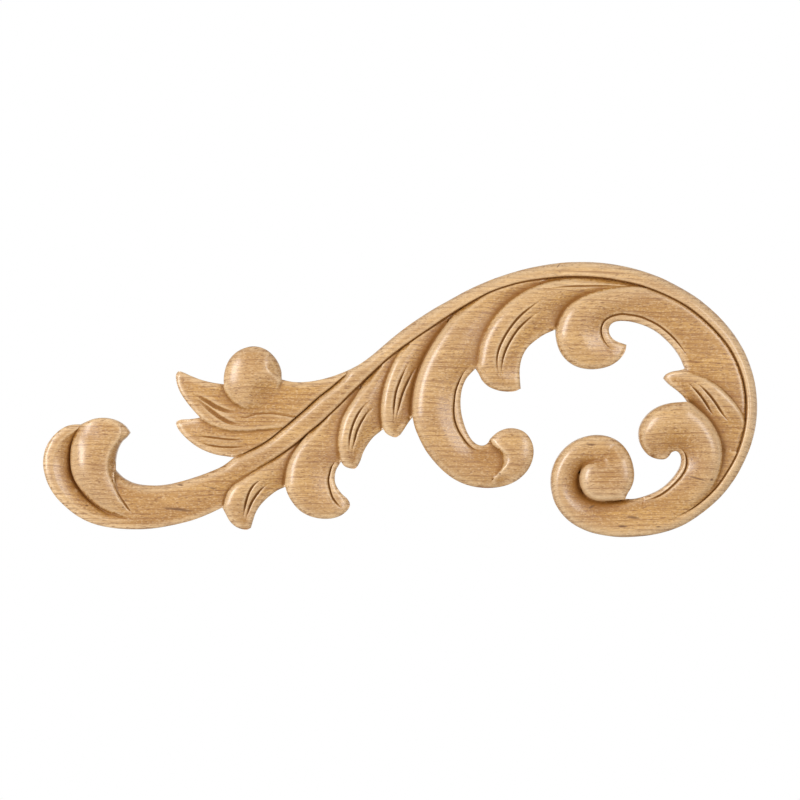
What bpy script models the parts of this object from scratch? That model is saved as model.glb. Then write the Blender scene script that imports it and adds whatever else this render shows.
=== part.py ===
"""Carved wood applique: an acanthus scroll with a flat back.

It stands upright in the XZ plane with the carved face towards -Y, and its back lies on y = 0.
The outline, each leaf and each cut are drawn in plan, in millimetres from the middle of the back,
x to the right and z up. A leaf lies between two lines, its back and its belly, each with heights above
the flat back. Later leaves lie over earlier ones.
"""

import bpy
import numpy as np
from mathutils import Vector
from mathutils.geometry import delaunay_2d_cdt
from mathutils.kdtree import KDTree

for old in list(bpy.data.objects):
    bpy.data.objects.remove(old, do_unlink=True)

MM = 0.001
NAME = "acanthus_applique"

# Height of the wood where no leaf covers it.
GROUND_HEIGHT = 8.2

# How a leaf's belly edge falls away: the width of the rounding and its drop.
BELLY_ROUND_WIDTH = 1.4
BELLY_ROUND_DROP = 1.2

# The outermost strip of each rounding that is left out, so that edges stay crisp.
LIP = 0.15

# A leaf that lies over another ends in a steep wall with this run in plan. Lower walls than the least
# height have no facets of their own, and neither have walls this close to a cut.
WALL_RUN = 0.4
LEAST_WALL_HEIGHT = 0.35
WALL_TO_CUT = 1.2

# Cuts: width, depth, and the share of the length over which each end runs out.
VEIN = (1.8, 1.8, 0.35)
BEAD = (1.4, 1.3, 0.22)
RIB = (1.3, 1.1, 0.12)
RIM = (1.5, 1.5, 0.07)
FLUTE = (2.8, 1.2, 0.40)
CREASE = (1.6, 0.9, 0.30)
LINE = (1.4, 0.8, 0.35)

# Fineness of the faceted surface: the spacing of points on a curve, the longest edge and the sharpest turn
# along a line that the facets follow, and the spacing of the points in between.
CURVE_STEP = 0.5
LINE_STEP = 2.8
LINE_TURN = 0.28
SURFACE_STEP = 3.1

# Width of the strip of facets along the outline, and how far all other lines stay from the outline.
SHOULDER = 0.8
CLEARANCE = 0.5

forms = []
cuts = []


def smooth(points, step):
    """A smooth curve through the points, as evenly spaced points."""
    knots = np.array(points, float)
    if len(knots) == 2:
        knots = np.array([knots[0], (knots[0] + knots[1]) / 2, knots[1]])
    knots = np.vstack([2 * knots[0] - knots[1], knots, 2 * knots[-1] - knots[-2]])
    gaps = np.sqrt(np.linalg.norm(np.diff(knots, axis=0), axis=1))
    times = np.concatenate([[0], np.cumsum(gaps)])
    pieces = []
    for i in range(1, len(knots) - 2):
        (t0, t1, t2, t3), (p0, p1, p2, p3) = times[i - 1:i + 3], knots[i - 1:i + 3]
        t = np.linspace(t1, t2, 13)[:-1, None]
        a1 = p0 + (p1 - p0) * (t - t0) / (t1 - t0)
        a2 = p1 + (p2 - p1) * (t - t1) / (t2 - t1)
        a3 = p2 + (p3 - p2) * (t - t2) / (t3 - t2)
        b1 = a1 + (a2 - a1) * (t - t0) / (t2 - t0)
        b2 = a2 + (a3 - a2) * (t - t1) / (t3 - t1)
        pieces.append(b1 + (b2 - b1) * (t - t1) / (t2 - t1))
    dense = np.vstack(pieces + [knots[-2:-1]])
    along = np.concatenate([[0], np.cumsum(np.linalg.norm(np.diff(dense, axis=0), axis=1))])
    wanted = np.linspace(0, along[-1], max(2, round(along[-1] / step) + 1))
    return np.stack([np.interp(wanted, along, dense[:, k]) for k in range(dense.shape[1])], axis=1)


def nearest(places, line):
    """Distance from each place to the line, and the share of the line's length at the nearest point."""
    tree = KDTree(len(line))
    for i, point in enumerate(line):
        tree.insert((*point, 0), i)
    tree.balance()
    closest = np.array([tree.find((*place, 0))[1] for place in places], int)
    lengths = np.linalg.norm(np.diff(line, axis=0), axis=1)
    starts = np.concatenate([[0], np.cumsum(lengths)])
    best = np.full(len(places), np.inf)
    share = np.zeros(len(places))
    for first in (closest - 1, closest):
        first = np.clip(first, 0, len(line) - 2)
        way = (line[first + 1] - line[first]) / lengths[first, None]
        from_start = places - line[first]
        t = np.clip((from_start * way).sum(axis=1), 0, lengths[first])
        distance = np.linalg.norm(from_start - t[:, None] * way, axis=1)
        closer = distance < best
        best[closer] = distance[closer]
        share[closer] = (starts[first[closer]] + t[closer]) / starts[-1]
    return best, share


def inside(places, loop):
    """Which places lie inside the closed loop."""
    x, z = places.T
    within = np.zeros(len(places), bool)
    for (x1, z1), (x2, z2) in zip(loop, np.roll(loop, -1, axis=0)):
        if z1 != z2:
            within ^= ((z1 > z) != (z2 > z)) & (x < (x2 - x1) * (z - z1) / (z2 - z1) + x1)
    return within


def ease(t):
    """A smooth step from 0 to 1 while t goes from 0 to 1."""
    t = np.clip(t, 0, 1)
    return t * t * (3 - 2 * t)


def spread(heights, share):
    """Heights given evenly along a line, read at shares of its length."""
    stations = np.linspace(0, 100, len(heights))
    curve = smooth(list(zip(stations, heights)), 1)
    return np.interp(share * 100, curve[:, 0], curve[:, 1])


def rounding(distance, width, drop):
    """How far the surface has dropped at this distance from an edge: a quarter of an ellipse."""
    rest = 1 - np.clip(distance / width, 0, 1)
    return drop * (1 - np.sqrt(1 - rest ** 2))


def turned_right(line):
    """Unit vectors to the right of the line's way, at each of its points."""
    way = np.gradient(line, axis=0)
    way /= np.linalg.norm(way, axis=1)[:, None]
    return np.stack([way[:, 1], -way[:, 0]], axis=1)


def past_outline(loop):
    """The loop, pushed outwards where it runs along the outline, so that it covers the wood up to there."""
    tree = KDTree(len(outline_points))
    for i, point in enumerate(outline_points):
        tree.insert((*point, 0), i)
    tree.balance()
    moved = loop.copy()
    for i, point in enumerate(loop):
        _, at, distance = tree.find((*point, 0))
        if distance < 0.8:
            moved[i] = outline_points[at] + outline_outward[at]
    return moved


# The three kinds of form: a leaf between its back and its belly, a hollow that deepens from its arris to its
# foot, and a ball within its rim. A fade is a place and a reach within which it melts into what is under it.
def leaf(
        back, belly, back_heights, belly_heights, crown, rise=0.0, round_widths=(2.3, 2.3), fall=0.5, fades=()):
    back, belly = smooth(back, CURVE_STEP), smooth(belly, CURVE_STEP)
    forms.append({
        "kind": "leaf", "back": back, "belly": belly,
        "back_heights": back_heights, "belly_heights": belly_heights,
        "crown": crown, "rise": rise, "round_widths": round_widths, "fall": fall, "fades": fades,
        "loop": past_outline(np.vstack([back, belly[::-1]])),
    })


def hollow(arris, foot, depths, bow, fades=()):
    arris, foot = smooth(arris, CURVE_STEP), smooth(foot, CURVE_STEP)
    forms.append({
        "kind": "hollow", "arris": arris, "foot": foot, "depths": depths, "bow": bow, "fades": fades,
        "loop": past_outline(np.vstack([arris, foot[::-1]])),
    })


def ball(centre, rim, edge, top, flatness=2, fades=()):
    rim = smooth(rim + rim[:1], CURVE_STEP)[:-1]
    forms.append({
        "kind": "ball", "centre": np.array(centre), "rim": rim, "edge": edge, "top": top,
        "flatness": flatness, "fades": fades, "loop": past_outline(rim),
    })


def groove(kind, points):
    cuts.append((kind, smooth(points, CURVE_STEP)))


def line_field(places, line, heights):
    """Distance to the line, the share of its length, and a distance and height smoothed between its bends."""
    distance, share = nearest(places, line)
    knots, levels = line[::2], spread(heights, np.linspace(0, 1, len(line)))[::2]
    far, level = np.empty(len(places)), np.empty(len(places))
    for start in range(0, len(places), 2000):
        few = slice(start, start + 2000)
        weights = (((places[few, None] - knots) ** 2).sum(axis=2) + 0.01) ** -3
        total = weights.sum(axis=1)
        far[few] = (3 * np.pi / 8 / (2 * CURVE_STEP * total)) ** 0.2
        level[few] = weights @ levels / total
    return distance, share, distance + (far - distance) * ease((distance - 0.5) / 1.5), level


def leaf_height(form, places):
    """Height of a leaf at the places, and how far it covers what lies under it."""
    from_back, back_share, back_way, back_level = line_field(places, form["back"], form["back_heights"])
    from_belly, _, belly_way, belly_level = line_field(places, form["belly"], form["belly_heights"])
    width = back_way + belly_way + 1e-9
    t = back_way / width
    mix = (ease(t) + t) / 2
    height = back_level * (1 - mix) + belly_level * mix
    height += form["crown"] * width * 4 * t * (1 - t)
    round_width = spread(form["round_widths"], back_share)
    height -= rounding(from_back + LIP, round_width, form["fall"] * round_width)
    height -= rounding(from_belly + LIP, BELLY_ROUND_WIDTH, BELLY_ROUND_DROP)
    cover = np.ones(len(places))
    if form["rise"]:
        cover = ease(back_share / form["rise"])
        cover += (1 - cover) * ease(from_back / 2.5)
    return height, cover


def hollow_depth(form, places):
    """How deep a hollow is at the places, and how fully it is cut: nothing at its arris, all at its foot."""
    _, _, from_arris, depth = line_field(places, form["arris"], form["depths"])
    from_foot = line_field(places, form["foot"], form["depths"])[2]
    t = from_arris / (from_arris + from_foot + 1e-9)
    return depth * t * (1 + form["bow"] * (1 - t)), np.ones(len(places))


def ball_height(form, places):
    """Height of a ball at the places, and how far it covers what lies under it."""
    across = places - form["centre"]
    reach = np.linalg.norm(across, axis=1)
    rim = form["rim"] - form["centre"]
    angles = np.arctan2(rim[:, 1], rim[:, 0])
    order = np.argsort(angles)
    radius = np.interp(
        np.arctan2(across[:, 1], across[:, 0]), angles[order], np.linalg.norm(rim[order], axis=1),
        period=2 * np.pi)
    t = np.clip(reach / (radius + 2 * LIP), 0, 1)
    height = form["edge"] + (form["top"] - form["edge"]) * np.sqrt(1 - t ** form["flatness"])
    return height, np.ones(len(places))


def surface(places):
    """Height of the carved face above the back at the places, and which form is on top there."""
    heights = np.full(len(places), GROUND_HEIGHT)
    owners = np.full(len(places), -1)
    for number, form in enumerate(forms):
        low, high = form["loop"].min(axis=0), form["loop"].max(axis=0)
        near = np.flatnonzero(((places >= low) & (places <= high)).all(axis=1))
        near = near[inside(places[near], form["loop"])]
        if not len(near):
            continue
        there = places[near]
        if form["kind"] == "hollow":
            depth, cover = hollow_depth(form, there)
            height = heights[near] - depth
        elif form["kind"] == "ball":
            height, cover = ball_height(form, there)
        else:
            height, cover = leaf_height(form, there)
        for x, z, reach in form["fades"]:
            cover = np.minimum(cover, ease(np.linalg.norm(there - (x, z), axis=1) / reach))
        heights[near] += (height - heights[near]) * cover
        owners[near] = number
    for (width, depth, run_out), line in cuts:
        low, high = line.min(axis=0) - width, line.max(axis=0) + width
        near = np.flatnonzero(((places >= low) & (places <= high)).all(axis=1))
        distance, share = nearest(places[near], line)
        full = ease(np.minimum(share, 1 - share) / run_out)
        half = width / 2 * (0.4 + 0.6 * full)
        heights[near] -= depth * full * np.clip(1 - distance / half, 0, 1)
    return heights, owners


OUTLINE = [
    # Tail, outer curve
    [
        (-134.4, -10.5), (-137.1, -10.5), (-140.2, -11.2), (-143.4, -13.1), (-146.3, -16), (-148.5, -19.4),
        (-149.7, -23.1), (-150, -27.1), (-149.3, -31.6), (-147.5, -36.4), (-144.6, -40.9), (-140.4, -45.2),
        (-135.2, -49.2), (-129.1, -52.1), (-121.9, -53.8), (-113.7, -54.5), (-105.2, -54.3), (-96.6, -53),
        (-87.3, -50.7), (-80.3, -48), (-74.8, -45.4),
    ],
    # First small leaf
    [
        (-74.8, -45.4), (-73.4, -48), (-71.8, -50.9), (-69.5, -53.2), (-66.9, -54.4), (-64.4, -54.7),
        (-62.9, -54),
    ],
    # First small leaf, inner side
    [
        (-62.9, -54), (-62, -50.9), (-61.1, -48.1), (-59.5, -45.3), (-57.3, -42.7), (-54.6, -40.3),
        (-51.6, -38.2), (-48.3, -36.7),
    ],
    # Hooked leaf
    [
        (-48.3, -36.7), (-47.4, -39.5), (-45.1, -43.5), (-41.9, -46.9), (-37.7, -49.1), (-32.9, -50.1),
        (-28.4, -49.9), (-24.9, -48.7), (-22.5, -46.8), (-21.3, -44.9), (-21.3, -43.5),
    ],
    # Hooked leaf, inner side
    [
        (-21.3, -43.5), (-22.4, -41.8), (-24.4, -40), (-26.2, -37.7), (-27.4, -35.1), (-27.6, -32.3),
        (-27, -29.6), (-25.8, -27.5), (-24.9, -26.1),
    ],
    # Second small leaf
    [
        (-24.9, -26.1), (-23.6, -27.9), (-20.9, -29), (-19, -29), (-17.8, -27.8),
    ],
    # Second small leaf, inner side
    [
        (-17.8, -27.8), (-16.8, -25.7), (-15.8, -22.7), (-13.8, -19), (-11.3, -15.8), (-9, -13.9),
        (-7.2, -12.5),
    ],
    # Third small leaf
    [
        (-7.2, -12.5), (-5.9, -14.3), (-3.8, -15.5), (-1.8, -15.9), (0.1, -14.7),
    ],
    # Third small leaf, inner side
    [
        (0.1, -14.7), (1.7, -12.3), (3.6, -9.4), (5.1, -7.5),
    ],
    # Crook, outer curve
    [
        (5.1, -7.5), (6.1, -11.8), (8.1, -16.7), (10.7, -21.5), (14.1, -26), (18.1, -30.1), (22.8, -33.6),
        (28.3, -36), (34.3, -37.1), (40.3, -37), (45.8, -35.6), (50.3, -33), (53.6, -29.4), (55.5, -25.1),
        (55.9, -20.7), (54.7, -16.8), (52.1, -13.7), (48.4, -12.2), (44.4, -12.3), (40.7, -13.9),
        (37.9, -16.4),
    ],
    # Crook, inner curve
    [
        (37.9, -16.4), (36.8, -18.3), (35.1, -19.3), (32.8, -19.1), (30.4, -17.4), (28.3, -14.2),
        (26.6, -9.8), (25.5, -4.8), (25.3, 0.3), (26.1, 5.1), (27.7, 8.7), (29.7, 11.1), (31.6, 13),
    ],
    # Blade, tip side
    [
        (31.6, 13), (32.9, 10.9), (34.5, 7.9), (36.9, 5.6), (40.4, 4), (44.4, 3.3), (48.2, 3.5),
        (50.6, 4.6),
    ],
    # Blade, inner side
    [
        (50.6, 4.6), (50.3, 7.8), (50.1, 12), (50.7, 16.2), (52, 19.6), (54, 22.4), (56.8, 24.8), (60, 27),
        (63.1, 28.5), (65.3, 29.4),
    ],
    # Volute, outer curve
    [
        (65.3, 29.4), (65.4, 26.3), (66.2, 22.5), (68, 18.8), (70.9, 15.7), (74.8, 13.6), (79.7, 12.7),
        (84.7, 13.1), (89, 14.6), (92.3, 17.1), (94.4, 20.2), (95, 23),
    ],
    # Volute, inner curve
    [
        (95, 23), (92.6, 23.8), (90.2, 24.8), (88.4, 26.5), (87.6, 28.6), (87.9, 30.7), (89.3, 32.2),
        (92, 33), (95.7, 32.9), (99.8, 32.1), (103.9, 30.6), (108, 28.3), (111.8, 25.1), (115.2, 21.4),
        (117.8, 17.4), (119.7, 13),
    ],
    # Spur
    [
        (119.7, 13), (118, 12.4), (114.2, 11.7), (111.7, 10.5), (110.6, 8.9),
    ],
    # Spur, lower side
    [
        (110.6, 8.9), (113.1, 6.3), (116.5, 3.7), (118.9, 1.5), (120.7, -0.9),
    ],
    # Curl, outer curve
    [
        (120.7, -0.9), (118, -1.1), (113.6, -1.5), (109, -2.8), (105, -5.2), (102.1, -8.5), (100.5, -12),
        (100.2, -15.4), (100.9, -18.6), (102.7, -21.7), (105.3, -24), (108.4, -25.1), (111.3, -25),
        (112.9, -23.7),
    ],
    # Curl, inner curve
    [
        (112.9, -23.7), (113.9, -22.3), (115.5, -21.7), (117, -22.2), (118, -23.8), (118.2, -26),
        (117.6, -28.4), (116.3, -30.7), (114.5, -33.1), (112.1, -35.6), (109.1, -37.9), (105.3, -39.8),
        (100.9, -41.3), (97, -41.9), (94.3, -41.7),
    ],
    # End scroll
    [
        (94.3, -41.7), (95.4, -39.4), (96.8, -37.1), (97.9, -34.1), (98.1, -30.4), (97.3, -26.2),
        (95.5, -22), (92.5, -18.3), (88.2, -15.8), (83.2, -14.9), (78.1, -15.5), (73.2, -17.4),
        (68.8, -20.8), (65.5, -25.3), (63.7, -30.1), (63.2, -35), (63.8, -39.7), (65.3, -44),
        (67.7, -47.8), (70.9, -51.1), (74.9, -53.7), (79.9, -55.8), (85.6, -57.1), (91.6, -57.8),
        (98.4, -57.7), (105.7, -56.9), (112.5, -55.3), (118.5, -53), (123.8, -49.9), (128.9, -46.1),
        (133.7, -41.9), (137.9, -37.1), (141.5, -31.8), (144.6, -26), (147, -20.2), (148.7, -14.4),
        (149.7, -8.6), (150, -2.7), (149.6, 3.3), (148.5, 9.3), (146.8, 15), (144.5, 20.3), (141.7, 25.2),
        (138.4, 29.8), (134.6, 34.1), (130.3, 38.2), (125.6, 42.1), (120.4, 45.5), (115.2, 48.4),
        (109.9, 51), (104.2, 53.2), (98.3, 55), (92.5, 56.3), (86.9, 57.2), (81.4, 57.7), (75.6, 57.8),
        (69.5, 57.6), (63.1, 56.9), (56.8, 55.8), (50.4, 54.3), (44, 52.4), (38.1, 50.3), (32.6, 48),
        (27, 45.3), (20.8, 41.9), (14.2, 38.2), (8.2, 34.4), (2.6, 30.5), (-2.5, 26.6), (-7, 22.8),
        (-11.3, 19.1), (-15.9, 15.6), (-21.3, 12.6), (-27.2, 10.2), (-33.4, 8.4), (-39.5, 7.4),
        (-45.1, 7.4), (-49.9, 8.4),
    ],
    # Cap roll
    [
        (-49.9, 8.4), (-50.1, 11.8), (-51.1, 14.9), (-53, 17.9), (-55.6, 20.4), (-58.7, 21.9),
        (-62.2, 22.3), (-65.7, 21.5), (-68.9, 19.8), (-71.4, 17.3), (-73.1, 14.1), (-74, 10.5),
        (-74.2, 6.4),
    ],
    # Upper fern leaf
    [
        (-74.2, 6.4), (-79.5, 7.2), (-84.2, 8.4), (-88.3, 10), (-91.4, 11.4), (-93.3, 11.8), (-94.3, 10.4),
        (-94.1, 7.4), (-92.7, 3.4), (-90.1, -0.7), (-87.1, -4.4), (-84.3, -7.5),
    ],
    # Lower fern leaf
    [
        (-84.3, -7.5), (-84.7, -7.7), (-89, -8.3), (-92.7, -8.6), (-94.3, -9.6), (-93.8, -11.7),
        (-91.7, -14.6), (-88.8, -17.4), (-85.4, -19.9), (-81.6, -21.8), (-77.4, -23.2), (-73.2, -23.9),
        (-69.9, -24.4),
    ],
    # Stem, upper edge
    [
        (-69.9, -24.4), (-74.8, -28), (-80.9, -30.7), (-87.1, -32.9), (-93.1, -34.7), (-99.1, -35.9),
        (-105.2, -36.2), (-110.8, -35.5), (-114.8, -34), (-117.6, -32), (-119.8, -29.6),
    ],
    # Tail roll
    [
        (-119.8, -29.6), (-119.7, -25.4), (-118.8, -21.2), (-117, -17.7), (-114.8, -15.6), (-113.6, -13.9),
    ],
    # Tail roll, top
    [
        (-113.6, -13.9), (-115.7, -11.1), (-118.7, -9.1), (-122, -8), (-125.4, -7.7), (-128.6, -8.1),
        (-131.6, -9.2), (-134.4, -10.5),
    ],
]

outline_runs = [smooth(run, CURVE_STEP) for run in OUTLINE]
outline_points = np.vstack([run[:-1] for run in outline_runs])
outline_outward = np.vstack([turned_right(run)[:-1] for run in outline_runs])

# Lower fern leaf, at the left above the stem
leaf(
    back=[
        (-42.1, -10.3), (-58.1, -12), (-65.3, -12.4), (-73.7, -11.5), (-80, -9.4), (-84.7, -7.7),
        (-89.2, -8.5), (-94.5, -9.5),
    ],
    belly=[
        (-42.1, -17.8), (-55.6, -22), (-65.3, -24.1), (-71.6, -24.1), (-77.4, -23.3), (-81.6, -21.9),
        (-85.3, -19.8), (-88.7, -17.6), (-91.8, -14.5), (-94.5, -9.5),
    ],
    back_heights=(9.0, 8.8, 8.4, 8.0, 6.4),
    belly_heights=(9.0, 8.6, 8.2, 7.6, 6.4),
    crown=0.04,
)

# Upper fern leaf
leaf(
    back=[
        (-37.9, -0.2), (-46.3, 0.7), (-58.1, 3.2), (-67.4, 5.3), (-74.2, 6.4), (-79.5, 7.2), (-84.1, 8.3),
        (-88.4, 10), (-91.4, 11.5), (-93.8, 11.6),
    ],
    belly=[
        (-37.9, -10.3), (-46.3, -11.5), (-58.1, -12.8), (-65.3, -13.4), (-72.4, -13), (-79.1, -10.9),
        (-84.3, -7.5), (-87.1, -4.4), (-90.1, -0.7), (-92.8, 3.4), (-94.1, 7.4), (-93.8, 11.6),
    ],
    back_heights=(10.0, 9.4, 8.8, 8.8, 7.4),
    belly_heights=(10.2, 10.0, 9.6, 9.0, 7.4),
    crown=0.04,
    rise=0.2,
)

# Leaf under the cap roll, running up beside the rib
leaf(
    back=[
        (-20.3, 12.8), (-27.2, 10.2), (-33.3, 8.4), (-39.6, 7.4), (-45.1, 7.4), (-49.9, 8.4), (-58.1, 9.9),
        (-65.3, 9.9),
    ],
    belly=[
        (-18.6, 14.1), (-22.8, 10.3), (-28.7, 5.3), (-34.6, 0.7), (-39.6, -3.8), (-43.4, -7.3),
        (-48.4, -6.8), (-53.9, -6), (-60.6, -6.3), (-66.5, -7.7), (-69, -5.2), (-68.2, -0.2), (-65.3, 8.2),
    ],
    back_heights=(8.6, 8.8, 9.0, 9.6, 10.0),
    belly_heights=(9.2, 9.6, 10.0, 10.2, 9.6),
    crown=0.03,
    fades=[(-69.9, -5.2, 8.4)],
)

# Round cap roll on top of it
ball(
    centre=(-62.1, 9.3),
    rim=[
        (-49.9, 8.4), (-50.1, 11.8), (-51.2, 14.9), (-52.8, 17.9), (-55.6, 20.3), (-58.7, 22),
        (-62.1, 22.3), (-65.7, 21.5), (-69, 19.8), (-71.3, 17.3), (-73.1, 14.1), (-74, 10.5), (-74.2, 6.3),
        (-73.2, 2.8), (-71.1, -0.2), (-68.2, -2.5), (-64.4, -4.2), (-59.8, -3.5), (-55.2, -1),
        (-51.8, 3.2),
    ],
    edge=9.6,
    top=14.4,
    fades=[(-53.9, -1, 13.5), (-60.2, -6.1, 8.4)],
)

# Bevel on the cap roll's right side
hollow(
    arris=[
        (-57.3, 16.2), (-55.8, 12.8), (-53.5, 10.1), (-49.9, 7.8),
    ],
    foot=[
        (-54.7, 19.6), (-51.6, 16), (-50.1, 11.8), (-49.9, 8.2),
    ],
    depths=(0.2, 1.8, 2.2, 0.6),
    bow=0.0,
)

# First small leaf under the stem
leaf(
    back=[
        (-46.8, -18.7), (-53.9, -25.4), (-60.6, -29.6), (-66.1, -33.2), (-69.9, -35.7), (-72.4, -38.4),
        (-73.9, -41.6), (-74.7, -44.9), (-73.4, -48), (-71.9, -51.1), (-69.6, -53.3), (-66.9, -54.4),
        (-62.9, -54),
    ],
    belly=[
        (-40.5, -13.2), (-43, -25.4), (-45.5, -33), (-48.3, -36.7), (-51.6, -38.2), (-54.5, -40.4),
        (-57.2, -42.7), (-59.5, -45.3), (-61.2, -48.1), (-62, -50.9), (-62.9, -54),
    ],
    back_heights=(10.0, 11.2, 12.2, 12.2, 11.4, 9.6),
    belly_heights=(7.4, 7.2, 7.8, 8.4, 8.8),
    crown=0.05,
    rise=0.25,
    round_widths=(5, 6, 7, 7, 5),
    fall=0.45,
)

# Hooked leaf
leaf(
    back=[
        (-32.5, -6.9), (-38.8, -14.5), (-42.6, -19.3), (-45.3, -23.3), (-47.2, -27.7), (-48.1, -32.5),
        (-48.3, -36.7), (-47.4, -39.5), (-44.9, -43.8), (-42, -46.8), (-37.8, -49.2), (-32.9, -50.2),
        (-28.3, -50), (-25, -48.8), (-22.4, -46.8), (-21.3, -43.5),
    ],
    belly=[
        (-16.5, 10.7), (-16.9, -0.2), (-19.4, -10.7), (-22.4, -21.2), (-24.9, -26.1), (-25.8, -27.5),
        (-27, -29.5), (-27.8, -32.4), (-27.3, -35.1), (-26.3, -37.8), (-24.4, -40.1), (-21.3, -43.5),
    ],
    back_heights=(10.2, 11.8, 12.6, 12.2, 11.2, 9.6),
    belly_heights=(8.6, 7.6, 8.0, 9.2, 9.2),
    crown=0.06,
    rise=0.2,
    round_widths=(4, 5, 6, 6, 6, 5),
    fall=0.45,
)

# Second small leaf
leaf(
    back=[
        (-9.8, 14.5), (-16.1, 5.3), (-19.6, -0.2), (-22.2, -4.2), (-24.3, -8.4), (-25.5, -12.8),
        (-26.2, -17.8), (-26, -22), (-24.9, -26.1), (-23.6, -27.9), (-20.9, -29), (-17.8, -27.8),
    ],
    belly=[
        (4.9, 26.7), (1.6, 16.6), (-1.8, 4), (-4.7, -6.5), (-7.2, -12.5), (-9, -13.9), (-11.1, -15.6),
        (-13.9, -19), (-16, -22.8), (-16.8, -25.7), (-17.8, -27.8),
    ],
    back_heights=(10.0, 12.2, 13.4, 12.8, 10.0),
    belly_heights=(8.2, 7.2, 7.2, 8.2, 9.2),
    crown=0.05,
    rise=0.3,
    round_widths=(5, 6.5, 7, 7, 5),
    fall=0.45,
)

# Third small leaf
leaf(
    back=[
        (5.8, 28.4), (1.6, 22.9), (-2, 17.1), (-4.5, 11.6), (-6.4, 6.1), (-7.6, 0.7), (-8.1, -4.8),
        (-7.8, -9), (-7.2, -12.5), (-5.9, -14.3), (-3.8, -15.5), (0.1, -14.7),
    ],
    belly=[
        (26, 42.7), (20.1, 32.6), (14.2, 21.7), (9.6, 11.6), (6.6, 1.5), (5.6, -4.4), (5.1, -7.5),
        (3.6, -9.4), (1.7, -12.3), (0.1, -14.7),
    ],
    back_heights=(10.0, 12.2, 13.4, 12.8, 10.0),
    belly_heights=(8.6, 7.6, 7.0, 7.4, 9.2),
    crown=0.05,
    rise=0.3,
    round_widths=(5, 6.5, 7, 7, 5),
    fall=0.45,
)

# Crook, the large hooked leaf in the middle
leaf(
    back=[
        (36, 46.9), (31, 42.5), (26.4, 38.7), (21.8, 34.5), (18, 29.7), (14.8, 25), (11.7, 19.8),
        (8.8, 13.7), (6.7, 7.4), (5.5, 1.1), (5.1, -4.4), (5.1, -7.5), (6.1, -11.8), (8.1, -16.9),
        (10.8, -21.5), (14, -26), (18.2, -30), (22.6, -33.6), (28.3, -36.1), (34.4, -37), (40.3, -37),
        (45.9, -35.7), (49.5, -28.8),
    ],
    belly=[
        (67.1, 55.3), (57.1, 46.9), (47, 38.9), (39.4, 29.2), (34.8, 20), (31.6, 13), (29.7, 11.1),
        (27.8, 8.9), (26.1, 5.2), (25.2, 0.2), (25.5, -4.8), (26.5, -9.8), (28.4, -14.3), (30.3, -17.4),
        (32.9, -19.1), (35.1, -19.3), (36.8, -18.3), (39.4, -17), (44, -17), (48.2, -21.2), (49.5, -28.8),
    ],
    back_heights=(10.2, 13.0, 14.8, 15.0, 14.8, 14.2, 13.4, 12.2, 10.8),
    belly_heights=(9.0, 8.4, 8.4, 9.6, 10.0, 10.0, 9.6, 9.6, 10.2),
    crown=0.05,
    rise=0.2,
    round_widths=(6, 10, 13, 13, 13, 13, 12, 10, 6),
    fall=0.4,
)

# Ball at the end of the crook
ball(
    centre=(47.2, -24.4),
    rim=[
        (37.9, -16.4), (40.7, -13.9), (44.4, -12.3), (48.3, -12.2), (52.1, -13.7), (54.8, -16.7),
        (55.8, -20.8), (55.6, -25.1), (53.7, -29.5), (50.2, -33), (45.9, -35.7), (41.5, -36.3),
        (38.1, -34.6), (40, -32.1), (41.9, -29.4), (42.9, -26.2), (42.6, -23.1), (41.1, -20.6),
        (38.8, -18.9),
    ],
    edge=10.4,
    top=14.2,
    fades=[(41.5, -36.3, 6.7)],
)

# Blade, the pointed leaf right of the crook
leaf(
    back=[
        (98.2, 48.4), (84, 50.3), (73.5, 50.7), (66.3, 50), (60.8, 48.8), (54.5, 46.5), (49.1, 43.4),
        (44, 39.5), (39.4, 34.7), (35.8, 29.2), (33.4, 23.8), (32.3, 18.3), (31.8, 13), (32.9, 10.9),
        (34.3, 7.7), (37, 5.6), (40.2, 4), (44.4, 3.3), (50.6, 4.6),
    ],
    belly=[
        (98.2, 47.3), (86.5, 45.2), (77.2, 41.4), (70.5, 36.4), (66.3, 31.3), (65.3, 29.4), (63.1, 28.5),
        (60.1, 27.1), (56.6, 24.8), (54, 22.3), (52.1, 19.7), (50.7, 16.3), (50, 12), (50.3, 7.8),
        (50.6, 4.6),
    ],
    back_heights=(10.4, 11.4, 12.8, 13.8, 14.0, 13.0, 10.4),
    belly_heights=(10.0, 9.0, 8.0, 9.2, 9.8, 9.4),
    crown=0.05,
    rise=0.3,
    round_widths=(3, 6, 8, 9, 9.5, 9, 5),
    fall=0.45,
)

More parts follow.
